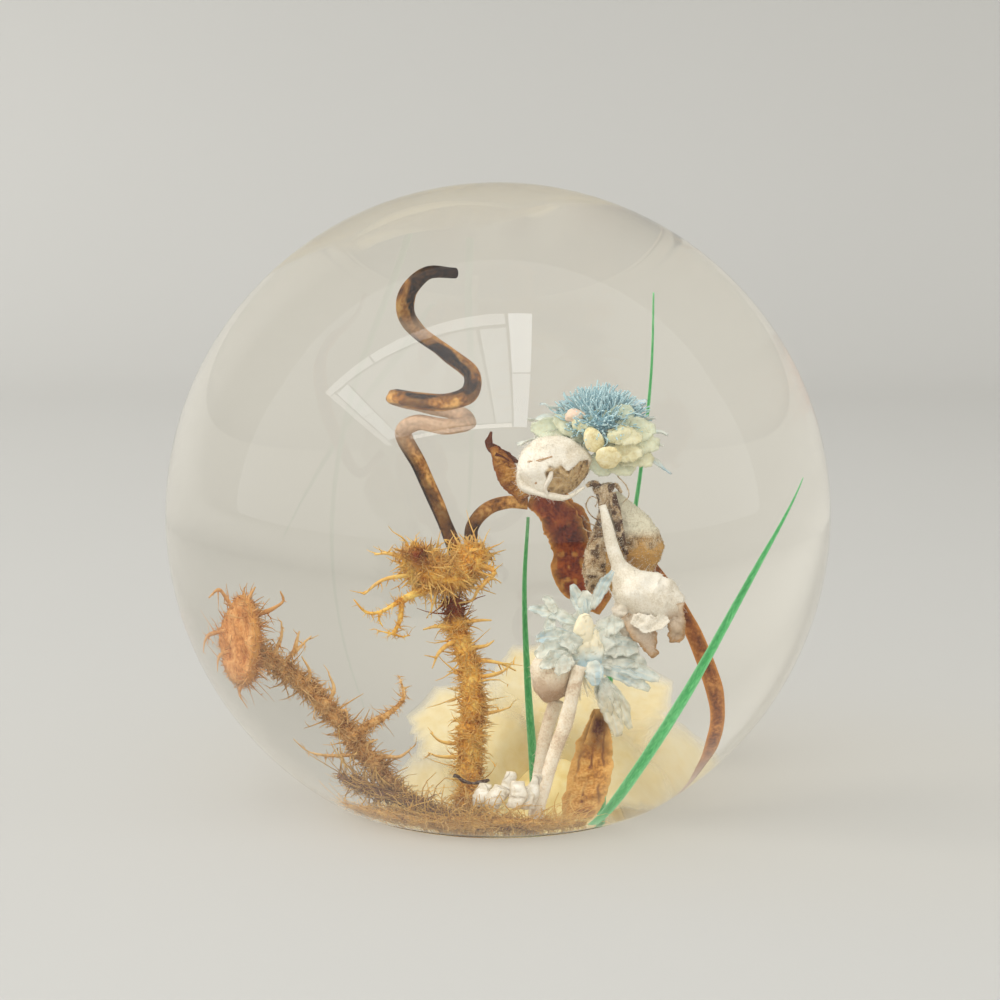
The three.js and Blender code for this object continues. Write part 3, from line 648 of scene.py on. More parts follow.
centre_cup_route = [
    (-7, -4.6, 30.2), (-6, -4.5, 29.1), (-4.6, -4.3, 28.1), (-3.2, -4.2, 28.3), (-2.2, -4.1, 29.2),
    (-1.7, -4, 30.4),
]
cup_threads = (
    [(-6.6, -4.9, 29.4), (-8.7, -5.5, 30.1), (-9.8, -5.5, 30.0)],
    [(-6.2, -5.0, 28.4), (-9.2, -6.0, 28.0), (-10.6, -6.0, 26.9)],
    [(-2.4, -4.6, 29.3), (-0.3, -5.0, 28.6), (-0.9, -5.6, 27.9), (-1.6, -5.6, 27.2), (-2.0, -5.2, 26.4),
     (-3.1, -5.0, 26.1)],
)


core = closed_tube(*limb(
    centre_cup_route, [1.1, 1.9, 2.1, 1.9, 1.1], [0.9, 1.15, 0.95, 1.05, 0.9], (0, 0, 1), rings=64,
    sides=36, relief=lumpy(41, (1.4, 0.4), (0.2, 0.1)),
))
core[2]["hairy"] = np.ones(len(core[0]))
core[2]["rust"] = np.clip(1.2 - np.linalg.norm(core[0] - (-6.4, -6, 29.9), axis=1) / 1.2, 0, 1)
lichen_piece("centre_lichen_cup", together(core, *long_threads(cup_threads, 0.22, 0.2, 321)),
             lichen_gold,
             "lichen_centre_cup",
             {**long_coat, "length": 1.9, "girth": 0.15, "per_square_millimetre": 2.4, "own_hair": 0.1,
              "seed": 41},
             {**short_coat, "length": 0.95, "per_square_millimetre": 17.0, "seed": 42})

twig_routes = (
    ([(-5.4, -5.0, 27.3), (-7.6, -5.6, 26.4), (-9.4, -5.6, 25.4), (-10.4, -5.4, 25.4),
      (-11.4, -5.4, 26.4)],
     [0.45, 0.28, 0.18, 0.12, 0.05]),
    ([(-7.6, -5.6, 26.3), (-7.7, -5.6, 24.9), (-8.3, -5.6, 23.6)], [0.24, 0.2, 0.14]),
    ([(-8.2, -5.6, 23.7), (-9.2, -5.6, 23.9), (-9.8, -5.6, 24.1)], [0.1, 0.06, 0.03]),
    ([(-8.2, -5.6, 23.7), (-7.6, -5.6, 23.5), (-6.9, -5.6, 23.6)], [0.1, 0.06, 0.03]),
    ([(-9.2, -5.6, 25.5), (-9.4, -5.7, 24.9), (-9.1, -5.7, 24.3)], [0.1, 0.08, 0.04]),
)
core = together(*(bristly_limb(route, widths, 40, 50 + order)
                  for order, (route, widths) in enumerate(twig_routes)))
lichen_piece("centre_lichen_twig", core, lichen_gold, "lichen_centre_twig",
             {**short_coat, "length": 0.7, "per_square_millimetre": 14.0, "girth": 0.05, "seed": 51})

left_stem_route = [
    (-6.2, -14.8, 6.4), (-8.8, -13, 9.2), (-10.6, -12, 12.3), (-13, -11, 15.8), (-15.8, -10.4, 19),
    (-18.8, -10.2, 21), (-21.2, -10.6, 22.1),
]
left_threads = (
    [(-19.4, -10.6, 21.4), (-18.4, -11.2, 23.7), (-18.4, -11.4, 24.9)],
    [(-18.6, -10.4, 20.9), (-16.9, -11.0, 22.6), (-15.6, -11.0, 23.8)],
    [(-17.2, -11.0, 22.3), (-17.0, -11.2, 23.3), (-16.7, -11.2, 24.2)],
    [(-16.6, -10.6, 19.1), (-15.9, -11.2, 20.6), (-16.6, -11.4, 22.0)],
    [(-14.6, -10.8, 17.6), (-13.8, -11.4, 19.3), (-14.2, -11.4, 20.6)],
    [(-13.9, -11.2, 17.0), (-12.9, -11.8, 17.4), (-12.8, -12.0, 16.1)],
    [(-12.2, -11.8, 13.2), (-15.7, -12.2, 12.5), (-17.5, -12.6, 12.6), (-18.7, -12.8, 13.6)],
    [(-10.8, -12.2, 12.6), (-9.8, -13.0, 13.2), (-8.5, -13.4, 13.3), (-7.2, -13.6, 14.4)],
    [(-11.4, -12.0, 13.6), (-11.2, -12.8, 14.4), (-10.3, -13.0, 14.9)],
)
core = bristly_limb(left_stem_route, [0.9, 0.75, 0.7, 0.8], rings=130, seed=11)
core[2]["rust"] = np.clip((13 - core[0][:, 2]) / 5, 0, 1)
lichen_piece("left_lichen_limb", together(core, *long_threads(left_threads, 0.22, 0.15, 341)),
             lichen_tan,
             "lichen_left_stem", {**long_coat, "length": 2.1, "per_square_millimetre": 1.6, "seed": 11},
             {**short_coat, "length": 0.9, "seed": 12})

left_twig_route = [(-12.2, -12, 15), (-11.2, -13, 16.1), (-9.4, -14, 17.3), (-8, -14, 18.9),
                   (-8.3, -14, 20.8)]
core = bristly_limb(left_twig_route, [0.42, 0.34, 0.26, 0.16, 0.05], rings=60, seed=21)
lichen_piece("left_lichen_twig", core, lichen_tan, "lichen_left_twig",
             {**long_coat, "length": 1.3, "girth": 0.08, "per_square_millimetre": 3.0, "own_hair": 0.0,
              "seed": 21},
             {**short_coat, "length": 0.6, "girth": 0.05, "seed": 22})


def left_disc():
    """A round dish with a bumpy face and a raised rim, hairy on the rim and behind."""
    centre, axis, radius, thick = np.array((-22.9, -11.6, 22.5)), unit((-0.95, -0.2, 0.24)), 4.4, 0.9
    across = unit(np.cross(axis, (0, 0, 1)))
    upward = np.cross(across, axis)
    face = [(share, 0.3 + 0.45 * share**4) for share in np.linspace(0.02, 0.94, 16)]
    back = [(1, 0.45), (1.02, -0.1), (0.9, -0.7), (0.7, -1), (0.5, -1.2), (0.3, -1.5), (0.02, -1.6)]
    sides = 64
    turn = np.linspace(0, 2 * math.pi, sides, endpoint=False)
    flat = np.array([[(r * math.cos(a), r * math.sin(a), h) for a in turn] for r, h in face + back])
    edge = 1 + 0.09 * lumps(np.stack([np.cos(turn), np.sin(turn), 0 * turn], axis=-1), 0.5, 3)[None, :,
                                                                                               None]
    points = centre + radius * edge * (flat[..., :1] * across + flat[..., 1:2] * upward)
    height = (thick * flat[..., 2:] + 0.3 * lumps(points, 1.3, 4)[..., None]
              + 0.14 * lumps(points, 0.45, 5)[..., None])
    shell = closed_tube(points + axis * height, points)
    hairy = [0.04] * 14 + [0.25, 0.7] + [1, 1, 1, 0.8, 0.8, 0.8, 0.8]
    shell[2]["hairy"] = np.concatenate([np.repeat(hairy, sides), [0, 1]])
    return shell


disc_threads = (
    [(-21.2, -11.4, 25.2), (-20.6, -11.6, 25.5), (-19.3, -11.6, 26.0), (-18.2, -11.6, 26.8),
     (-18.5, -11.8, 27.6)],
    [(-23.6, -11.8, 25.8), (-24.4, -12.0, 26.8), (-25.3, -12.4, 27.4), (-26.9, -12.6, 26.5)],
    [(-22.3, -11.8, 25.6), (-21.6, -12.0, 27.0), (-21.0, -12.0, 27.9)],
    [(-24.8, -12.2, 23.6), (-28.1, -12.6, 22.4), (-30.1, -12.6, 20.1)],
    [(-24.6, -12.2, 21.6), (-26.6, -12.6, 20.6), (-27.8, -12.8, 18.6)],
    [(-23.4, -12.0, 18.6), (-24.6, -12.6, 17.0), (-24.0, -12.8, 15.6)],
)
lichen_disc_finish = plant_finish(
    "lichen_disc_peach", (170, 102, 46), (214, 150, 88), (232, 182, 122), patch=2.0, speck=0.35,
    bump=0.08, tints=(("tip", (206, 164, 110)), ("hairy", (196, 140, 74))))
lichen_piece("left_lichen_cup", together(left_disc(), *long_threads(disc_threads, 0.24, 0.25, 361)),
             lichen_disc_finish, "lichen_left_cup",
             {**long_coat, "length": 2.2, "girth": 0.11, "per_square_millimetre": 0.8, "seed": 61},
             {**short_coat, "length": 0.9, "per_square_millimetre": 8.0, "seed": 62})


# The lichen mat is a tangle of the same lichen's finest threads, pressed round the front of
# the foot: brown and mauve above, olive gold where it meets the ground flat.
mat_routes = (
    ([(-15, -11.6, 5), (-11, -14, 4.9), (-6, -15.6, 4.9), (0, -16.2, 4.9), (4.6, -15.4, 4.6),
      (8.4, -13.6, 4.2)],
     [0.5, 1.1, 1.3, 1.2, 1.0, 0.5]),
    ([(-14.4, -11.6, 10.4), (-12, -12.8, 9.4), (-8.6, -14.2, 8.0), (-5, -15.2, 6.6), (-2.6, -15.4, 6.4)],
     [0.4, 0.9, 0.9, 0.8, 0.4]),
)


shells = []
for route, widths in mat_routes:
    points, straight = limb(route, widths, None, (0, 0, 1), rings=140, sides=22,
                            relief=lumpy(71, (1.6, 0.6), (0.3, 0.25)))
    shells.append(closed_tube(points, straight))
core = together(*shells)
core[2]["hairy"] = np.ones(len(core[0]))
core[2]["mauve"] = np.clip((core[0][:, 2] - 5.6) / 1.2, 0, 1)
# Olive gold is the threads' own colour, lightened here as painted light to make up for the shade at the
# foot.
mat_finish = plant_finish(
    "lichen_mat_gold", (150, 100, 44), (228, 178, 92), (250, 212, 130), patch=1.6, speck=0.3, bump=0.08,
    tints=(("mauve", (150, 114, 96)), ("tip", (236, 196, 122))), roughness=0.9)
mat_piece = plant_piece("lichen_thread_mat", core, mat_finish)
grow(mat_piece, mat_finish, per_square_millimetre=5.0, length=3.0, shortest=0.35, girth=0.095,
     tip_girth=0.5,
     lean=1.3, curl=0.8, wave=0.16, own_hair=0.0, rings=6, seed=71)
grow(mat_piece, mat_finish, per_square_millimetre=5.5, length=1.4, shortest=0.3, girth=0.075,
     tip_girth=0.4,
     lean=1.0, curl=0.9, wave=0.15, own_hair=0.0, rings=5, seed=72)
# Thread ends that would come out of the resin are drawn back to just inside it.
places = np.empty(3 * len(mat_piece.data.vertices))
mat_piece.data.vertices.foreach_get("co", places)
places = places.reshape(-1, 3)
ball_middle = np.array((0.0, 0.0, centre_height * MM))
arms = places - ball_middle
reach = np.linalg.norm(arms, axis=1)
most = (ball_radius - foot_bevel) * MM
places = ball_middle + arms * np.minimum(1.0, most / reach)[:, None]
places[:, 2] = np.maximum(places[:, 2], foot_bevel * MM)
mat_piece.data.vertices.foreach_set("co", places.ravel())
belongs(mat_piece, "lichen_mat", "lichen_mat")


# The tendril is a dried curly shoot. It rises from the lichen's cup, makes one flat coil and
# ends in a blunt dark hook. The dead leaf's stalk, of the same dark matter, starts beside it.
tendril_route = [
    (-3.1, -2.6, 29.6), (-4.7, -2, 33.5), (-6.1, -1.8, 36.5), (-7.4, -2.2, 39.2), (-6.4, -3.4, 40.2),
    (-4.2, -3.4, 39.9), (-2.4, -1.9, 39.8), (-2.8, 0.4, 40), (-5, 1.6, 40.4), (-7.4, 0.4, 41.2),
    (-8, -2, 42),
    (-6.4, -3.4, 42), (-4, -3.2, 41.8), (-2.2, -1.8, 42.3), (-2, -0.6, 43.5), (-4, 0, 45),
    (-6.2, -0.6, 46.9),
    (-7.3, -1.3, 48.8), (-7.2, -1.5, 50.8), (-5.8, -1.3, 52.3), (-3.4, 0, 51.8),
]
tendril_half = 0.65


def shrivel(seed, depth):
    """Long shallow folds, as on a stem that has dried, with a few knots."""
    return lumpy(seed, (0.45, 1.5), (depth, 0.6 * depth), 0.14)


widths = [share * tendril_half for share in (0.9, 0.9, 1, 0.9, 0.9, 1, 1.1, 0.9, 1.1, 0.7)]
shell = closed_tube(*limb(tendril_route, widths, rings=420, sides=28, relief=shrivel(81, 0.14)))
total = shell[2]["straight"][:, 2].max()
dark_tip = np.clip((shell[2]["straight"][:, 2] - total + 5) / 2.5, 0, 1)
streak = np.clip((shell[2]["straight"][:, 0] * 0.3 + shell[2]["straight"][:, 1]) / 0.3, 0, 1)
mottle = np.clip(6 * lumps(shell[2]["straight"] * (1, 1, 0.35), 0.8, 83) + 0.1, 0, 1)
shell[2]["dark"] = np.maximum(
    dark_tip, np.clip(0.9 * streak * np.clip(mottle + 0.5, 0, 1) + 0.6 * mottle, 0, 1))
height = shell[0][:, 2]
shell[2]["pale"] = 0.85 * np.clip((41.2 - height) / 0.5, 0, 1) * np.clip((height - 37) / 2.5, 0, 1)
shell[2]["pale"] += 0.5 * np.clip(1.4 - np.abs(height - 47.4), 0, 1)
tendril_finish = plant_finish(
    "dried_tendril", (64, 32, 12), (168, 112, 48), (230, 180, 104), patch=1.8, speck=0.3, bump=0.05,
    roughness=0.55,
    tints=(("dark", (28, 16, 12)), ("pale", (214, 184, 158))), lengthwise=True)
belongs(plant_piece("coiled_tendril", shell, tendril_finish), "tendril", "tendril")

stalk_route = [(-1.9, -2.8, 29.6), (-2, -2, 31.6), (-0.8, -1.5, 33), (0.8, -1.4, 33.5),
               (2.3, -1.4, 33.4)]
shell = closed_tube(*limb(stalk_route, [0.5, 0.55, 0.45], rings=90, sides=24, relief=shrivel(85, 0.1)))
shell[2]["dark"] = np.clip(1.2 - shell[2]["straight"][:, 2] / 4, 0, 1)
belongs(plant_piece("dead_leaf_stalk", shell, tendril_finish), "tendril", "leaf_stalk")


# The dead leaf hangs from its stalk, crumpled and folded lengthwise. It is one leaf with a
# dark curled tip on the left, a red-brown blade in the middle and a long strap of its midrib
# that bends down to the ground flat.
def blade(route, widths, face, rows, columns, thick, channel=0.0, crinkle=0.2, grain=0.8,
          ragged=0.15, seed=0):
    """A thin crumpled sheet along a route, as a closed skin with its own edge and length."""
    centre = smooth_route(route, rows)
    _, side, up = frames_on(centre, face)
    wide = stations(widths, rows)[:, None]
    share = np.linspace(-1, 1, columns)[None, :]
    way = np.linspace(0, 1, rows)[:, None]
    flat = np.stack(np.broadcast_arrays(share * wide, way * 10, 0.0), axis=-1)
    edges = flat[:, [0, -1]] * (9, 1, 1)
    torn = 1 + ragged * (lumps(edges, 1.4, seed) + 0.45 * lumps(edges, 0.35, seed + 3))
    reach = np.where(share < 0, torn[:, :1], torn[:, 1:]) * share
    middle = centre[:, None] + side[:, None] * (reach * wide)[..., None]
    lift = channel * wide * share**2 + crinkle * (
        lumps(middle, grain, seed + 1) + 0.5 * lumps(middle, grain / 2.5, seed + 2))
    middle = middle + up[:, None] * lift[..., None]
    across = np.gradient(middle, axis=1)
    onward = np.gradient(middle, axis=0)
    normal = unit(np.cross(across, onward))
    normal = np.where((normal * up[:, None]).sum(-1, keepdims=True) < 0, -normal, normal)
    thin = thick / 2 * np.sqrt(np.clip(1.02 - share**4, 0.02, 1))[..., None]
    ring = np.concatenate([middle + normal * thin, (middle - normal * thin)[:, ::-1]], axis=1)
    straight = np.concatenate([flat, flat[:, ::-1]], axis=1)
    shell = closed_tube(ring, straight)
    rim = np.maximum(np.abs(share) ** 3, np.maximum(1 - way * 12, 1 - (1 - way) * 10)) + 0 * way
    rim = np.clip(rim, 0, 1)
    shell[2]["rim"] = np.concatenate([np.concatenate([rim, rim[:, ::-1]], axis=1).ravel(), [1, 1]])
    length = way + 0 * share
    shell[2]["length"] = np.concatenate([np.concatenate([length, length], axis=1).ravel(), [0, 1]])
    return shell


dead_leaf_finish = plant_finish(
    "dead_leaf_red_brown", (78, 22, 8), (132, 50, 14), (178, 88, 30), patch=1.4, speck=0.22, bump=0.08,
    roughness=0.4, tints=(("rim", (216, 158, 80)), ("dark", (40, 14, 10))))
leaf_route = [
    (2.4, -1, 33.6), (4.0, -1.1, 33.1), (5.1, -1, 31.8), (5.7, -0.8, 29.9), (5.8, -0.6, 27.9),
    (6.6, -0.4, 26.6),
    (8.1, 0, 25.4),
]
shells = [
    blade(leaf_route, [0.5, 1.5, 1.9, 1.65, 1.6, 1.3, 0.9], (0.2, -1, 0.1), 110, 44, 0.16, 0.25, 0.28,
          1.0, 0.14, 91),
    blade(leaf_route, [0.4, 1.1, 1.3, 1.2, 1.2, 1, 0.5], (-0.5, -0.8, 0.1), 90, 30, 0.16, -0.4, 0.3, 0.8,
          0.2, 94),
]
for shell in shells:
    worn = np.clip(5 * lumps(shell[0], 0.5, 95) - 1.9, 0, 1) * np.clip((31.5 - shell[0][:, 2]) / 2, 0.2,
                                                                       1)
    shell[2]["rim"] = np.maximum(shell[2]["rim"] ** 2, 0.8 * worn)
belongs(plant_piece("dead_leaf_blade", together(*shells), dead_leaf_finish), "dead_leaf", "dead_leaf")

amber_finish = plant_finish(
    "leaf_tip_amber", (120, 62, 18), (204, 144, 64), (236, 192, 116), patch=1.0, speck=0.2, bump=0.06,
    roughness=0.45, tints=(("rim", (142, 78, 30)), ("dark", (84, 32, 14))))
tip_blades = (
    ([(2.3, -1.6, 34.0), (1.2, -2.7, 35.6), (0.5, -3.4, 37.0), (-0.4, -4, 38.4)], [0.6, 1.0, 0.9, 0.3],
     97, 0.0),
    ([(-0.1, -3.9, 38.0), (-0.7, -4.1, 38.6), (-0.5, -4, 39.6)], [0.5, 0.35, 0.08], 100, 0.9),
    ([(-0.1, -3.9, 38.0), (0.7, -3.8, 37.6), (1.6, -3.4, 37.0)], [0.3, 0.32, 0.15], 103, 0.9),
)
shells = []
for route, widths, seed, darkness in tip_blades:
    shell = blade(route, widths, (-0.3, -1, 0), 60, 26, 0.15, 0.4, 0.2, 0.9, 0.2, seed)
    shell[2]["dark"] = np.full(len(shell[0]), darkness)
    shells.append(shell)
belongs(plant_piece("dead_leaf_tip", together(*shells), amber_finish), "striped_leaf", "leaf_tip")

# The strap's grey tint is a painted highlight, mauve-grey, laid over its lower part.
strap_finish = plant_finish(
    "dead_leaf_strap", (96, 44, 14), (152, 88, 36), (204, 140, 74), patch=1.6, speck=0.25, bump=0.05,
    roughness=0.5, tints=(("rim", (216, 146, 72)), ("grey", (186, 158, 144))), lengthwise=True)
strap_route = [
    (8.9, 1.2, 27.2), (10.6, 2, 28.7), (12.7, 2, 26.3), (15, 2, 21.9), (16.4, 1.6, 17.6),
    (16.8, -0.6, 14),
    (17, -3.4, 11.2), (17.6, -6.4, 7.8), (18, -8.4, 3.3),
]
shell = closed_tube(*limb(
    strap_route, [0.3, 0.6, 0.65, 0.65, 0.4, 0.3], [0.28, 0.3, 0.32, 0.3, 0.25, 0.2], (0.3, -1, 0),
    rings=200, sides=24, relief=shrivel(99, 0.1),
))
# Painted highlight: greyer towards the strap's lower end.
shell[2]["grey"] = np.clip((15 - shell[0][:, 2]) / 5, 0, 1)
shell[2]["rim"] = np.clip(np.abs(shell[2]["straight"][:, 0]) / 0.6, 0, 1) ** 4
belongs(plant_piece("dead_leaf_midrib", shell, strap_finish), "dead_leaf", "strap_stem")


# The striped leaf stands at the front of the foot. It is thin and amber, with dark ribs.
striped_finish = plant_finish(
    "leaf_amber_striped", (138, 78, 22), (206, 142, 58), (240, 194, 116), patch=1.8, speck=0.25,
    bump=0.05,
    roughness=0.45, tints=(("ribs", (112, 54, 16)), ("dark", (82, 26, 10)), ("rim", (226, 176, 102))))
striped_route = [(8.2, -8, 17.7), (8.0, -8.4, 15.4), (7.8, -9, 12.8), (7.5, -9.9, 9.6),
                 (7.2, -10.4, 6.2)]
shells = []
for part, (widths, face, seed) in enumerate((
    ([0.5, 1.5, 1.9, 1.9, 1.5], (0.05, -1, 0.2), 101),
    ([0.3, 0.9, 1.2, 1.3, 0.8], (0.4, -0.9, 0.1), 104),
)):
    shell = blade(striped_route, widths, face, 80, 40, 0.12, 0.2 - 0.5 * part, 0.24, 1.2, 0.14, seed)
    across = (shell[2]["straight"][:, 0] * (1.4 - 0.7 * shell[2]["length"])
              + 0.25 * lumps(shell[0], 1.6, seed + 3))
    faint = np.clip(0.7 + 2 * lumps(shell[0], 1.5, seed + 4), 0.1, 1)
    shell[2]["ribs"] = np.clip(3.2 * np.cos(across * 5.2 + 0.8) - 2.2, 0, 1) * faint
    shell[2]["dark"] = np.clip((shell[0][:, 2] - 13.0) / 3.2 + 0.3 * lumps(shell[0], 0.8, seed + 5), 0,
                               1)
    shells.append(shell)
belongs(plant_piece("striped_leaf_blade", together(*shells), striped_finish), "striped_leaf",
        "striped_leaf")


# The woolly parts are seed pods and stems covered in white felt: two big pods, their stems,
# a round bud and the two felted stems that carry it.
def egg(centre, radii, axis=(0, 0, 1), rings=60, sides=80, folds=()):
    """An egg, dented by folds given as (seed, lump size, depth)."""
    axis = unit(axis)
    side = unit(np.cross(axis, (0.2, 0.9, 0.31)))
    up = np.cross(axis, side)
    rise = np.linspace(-math.pi / 2, math.pi / 2, rings + 2)[1:-1, None]
    turn = np.linspace(0, 2 * math.pi, sides, endpoint=False)[None, :]
    ball = np.stack(np.broadcast_arrays(
        np.cos(rise) * np.cos(turn), np.cos(rise) * np.sin(turn), np.sin(rise)), axis=-1)
    swell = np.ones(ball.shape[:2])
    for seed, size, depth in folds:
        swell = swell + depth * lumps(ball, size, seed)
    ball = ball * swell[..., None] * radii
    points = centre + ball[..., :1] * side + ball[..., 1:2] * up + ball[..., 2:] * axis
    return closed_tube(points, ball)


felt_finish = plant_finish(
    "woolly_white_felt", (218, 208, 190), (240, 234, 222), (250, 247, 240), patch=2.2, speck=0.14,
    bump=0.05,
    roughness=0.95, tints=(("brown", (176, 136, 92)), ("porous", (198, 168, 120)),
                           ("tip", (248, 244, 236))))
fuzz = dict(per_square_millimetre=10.0, length=0.4, shortest=0.3, girth=0.02, tip_girth=0.4, lean=1.2,
            curl=1.0,
            wave=0.1, own_hair=0.0, rings=4)


def felted(name, shell, finish, *nodes, **changes):
    """A felt covered piece: its core, then a coat of very short wool."""
    shell[2].setdefault("hairy", np.ones(len(shell[0])))
    made = plant_piece(name, shell, finish)
    grow(made, finish, **{**fuzz, **changes})
    belongs(made, "woolly_felt", *nodes)
    return made


def near(points, place, radius):
    """1 at a place, fading to 0 at a radius round it."""
    return np.clip(1.6 - 1.6 * np.linalg.norm(points - np.array(place), axis=1) / radius, 0, 1)


upper_pod = egg((4.4, -6, 37.3), (2.5, 2.3, 3.0), (1, 0, 0.2), 90, 120,
                ((111, 0.9, 0.15), (112, 0.35, 0.06)))
points = upper_pod[0]
wander = 0.5 * lumps(points, 0.8, 116)
open_side = near(points, (5.7, -8.2, 36.0), 3.4) * np.clip((37.6 + wander - points[:, 2]) / 0.25, 0, 1)
open_side *= np.clip((points[:, 0] - 3.9 - wander) / 0.3, 0, 1)
open_side = np.clip(open_side * 3, 0, 1)
points[:, 1] += open_side * (0.35 + 0.5 * lumps(points, 0.28, 113))
upper_pod[2]["porous"] = open_side
upper_pod[2]["hairy"] = 1 - open_side
pod_folds = (
    ([(4.4, -8.0, 37.5), (2.9, -7.8, 37.5), (1.8, -7.1, 36.8), (2.0, -7.2, 35.9), (2.9, -7.5, 35.4),
      (4.1, -7.6, 35.1), (5.5, -7.4, 34.9), (6.9, -6.8, 35.6)],
      [0.15, 0.3, 0.2, 0.34, 0.2, 0.32, 0.16, 0.1], 0.0),
    ([(4.4, -8.1, 37.5), (4.2, -8.25, 36.6), (3.8, -8.1, 35.8), (4.0, -7.9, 35.2)],
     [0.15, 0.24, 0.16, 0.1], 0.1),
    ([(2.4, -7.9, 37.9), (3.5, -8.15, 38.1), (4.4, -8.15, 38.4)], [0.08, 0.2, 0.08], 0.9),
    ([(2.7, -7.6, 36.5), (3.1, -7.7, 36.2), (3.5, -7.7, 35.9)], [0.1, 0.3, 0.1], 0.9),
)
shells = [upper_pod]
for order, (route, widths, brown) in enumerate(pod_folds):
    fold = closed_tube(*limb(route, widths, rings=60, sides=16, relief=shrivel(105 + order, 0.4)))
    fold[2]["brown"] = np.full(len(fold[0]), brown)
    fold[2]["hairy"] = np.full(len(fold[0]), 1 - brown)
    shells.append(fold)
felted("upper_woolly_pod", together(*shells), felt_finish, "pod_upper", seed=111)

lower_pod_route = [
    (9.5, -6.5, 29.6), (10.0, -6.7, 28.6), (11.0, -7, 27.4), (12.2, -7, 26.5), (13.6, -7, 26.1),
    (14.8, -7, 25.8),
]


lower_pod = closed_tube(*limb(
    lower_pod_route, [0.5, 1.1, 1.9, 2.2, 2.0, 0.9], rings=110, sides=70,
    relief=lumpy(114, (1.8, 0.7), (0.14, 0.09)),
))
lower_pod[2]["brown"] = 0.7 * near(lower_pod[0], (14.2, -8, 24.6), 1.5)
lower_pod[2]["hairy"] = np.ones(len(lower_pod[0]))
ragged_tips = (
    ([(10.6, -8.0, 25.6), (11.6, -8.4, 24.2), (12.7, -8.0, 22.0)], [0.9, 1.0, 0.35], 0.5),
    ([(14.2, -7.8, 26.2), (14.5, -7.9, 24.6), (14.4, -7.6, 23.1)], [0.9, 0.9, 0.45], 0.5),
    ([(9.8, -7.9, 26.4), (9.9, -8.1, 24.7), (10.7, -8.1, 23.2)], [0.6, 0.7, 0.4], 0.15),
    ([(10.9, -8.6, 25.2), (12.6, -8.9, 24.7), (13.8, -8.4, 25.2)], [0.4, 0.7, 0.4], 0.0),
)
shells = [lower_pod]
for order, (route, widths, brown) in enumerate(ragged_tips):
    flake = blade(route, widths, (0, -1, 0.2), 36, 20, 0.2, 0.3, 0.25, 0.7, 0.3, 117 + 3 * order)
    flake[2]["brown"] = np.clip(brown * (0.5 + flake[2]["length"] + flake[2]["rim"]), 0, 1)
    flake[2]["hairy"] = np.full(len(flake[0]), 1 - brown)
    shells.append(flake)
felted("lower_woolly_pod", together(*shells), felt_finish, "pod_lower", seed=114)

pod_stem_route = [(8.3, -5.9, 34.0), (8.7, -6.4, 32.5), (9.2, -6.6, 30.5), (9.8, -6.8, 28.9)]
points, straight = limb(pod_stem_route, [0.28, 0.42, 0.5, 0.6], rings=80, sides=24,
                        relief=shrivel(125, 0.14))
felted("woolly_pod_stem", closed_tube(points, straight), felt_finish, "woolly_stem", seed=125)

bud_finish = plant_finish(
    "woolly_bud_pink", (214, 190, 164), (242, 228, 206), (250, 242, 228), patch=1.6, speck=0.16,
    bump=0.08,
    roughness=0.95, tints=(("brown", (196, 166, 140)), ("tip", (246, 236, 220))))
bud = egg((4.4, -9, 20.8), (1.75, 1.7, 2.2), folds=((127, 0.8, 0.14), (128, 0.3, 0.06)))
bud[2]["brown"] = np.clip((20.6 - bud[0][:, 2]) / 1.4, 0, 1)
felted("woolly_round_bud", bud, bud_finish, "woolly_bud", seed=127, length=0.2)

felt_stem_routes = (
    ("front_felted_stem", "felt_stem_front",
     [(6.6, -9.9, 21.4), (6.2, -10.2, 19.8), (5.6, -10.6, 16.9), (4.8, -11.3, 14.2),
                                             (4.1, -12.2, 11), (3.6, -13.2, 7.6), (3.4, -13.8, 3.3)]),
    ("back_felted_stem", "felt_stem_back",
     [(4.7, -8.3, 18.5), (4.1, -8, 16.5), (3.7, -8, 14.8), (3.3, -8, 10),
                                           (3, -8, 3.3)]),
)
for order, (name, node, route) in enumerate(felt_stem_routes):
    points, straight = limb(route, [0.6], rings=120, sides=18, relief=shrivel(131 + 2 * order, 0.14))
    felted(name, closed_tube(points, straight), bud_finish, node, seed=131 + order, length=0.25)


# Three pods on the upper stalk are bare of felt: the ribbed stalk head and two narrow pods
# whose grey-brown skins are set with rows of tiny beads.
speckled_finish = plant_finish(
    "speckled_pod_skin", (118, 88, 60), (192, 166, 132), (232, 218, 194), patch=0.9, speck=0.12,
    bump=0.1,
    roughness=0.8, tints=(("gold", (206, 160, 92)), ("pale", (232, 228, 208)), ("black", (84, 60, 46)),
                          ("tip", (236, 226, 206))))


def beaded(name, shell, node, seed):
    """A pod skin set all over with tiny beads, scattered at random."""
    shell[2]["hairy"] = np.ones(len(shell[0]))
    made = plant_piece(name, shell, speckled_finish)
    grow(made, speckled_finish, per_square_millimetre=20.0, length=0.12, shortest=0.5, girth=0.055,
         tip_girth=0.4,
         lean=0.3, curl=0.0, wave=0.0, own_hair=0.0, rings=3, seed=seed)
    belongs(made, "speckled_pod", node)


def ribbed(ribs, depth, seed):
    def relief(straight):
        turn = np.arctan2(straight[..., 1], straight[..., 0])
        return 1 + depth * np.cos(ribs * turn) + depth * lumps(straight, 0.5, seed)
    return relief


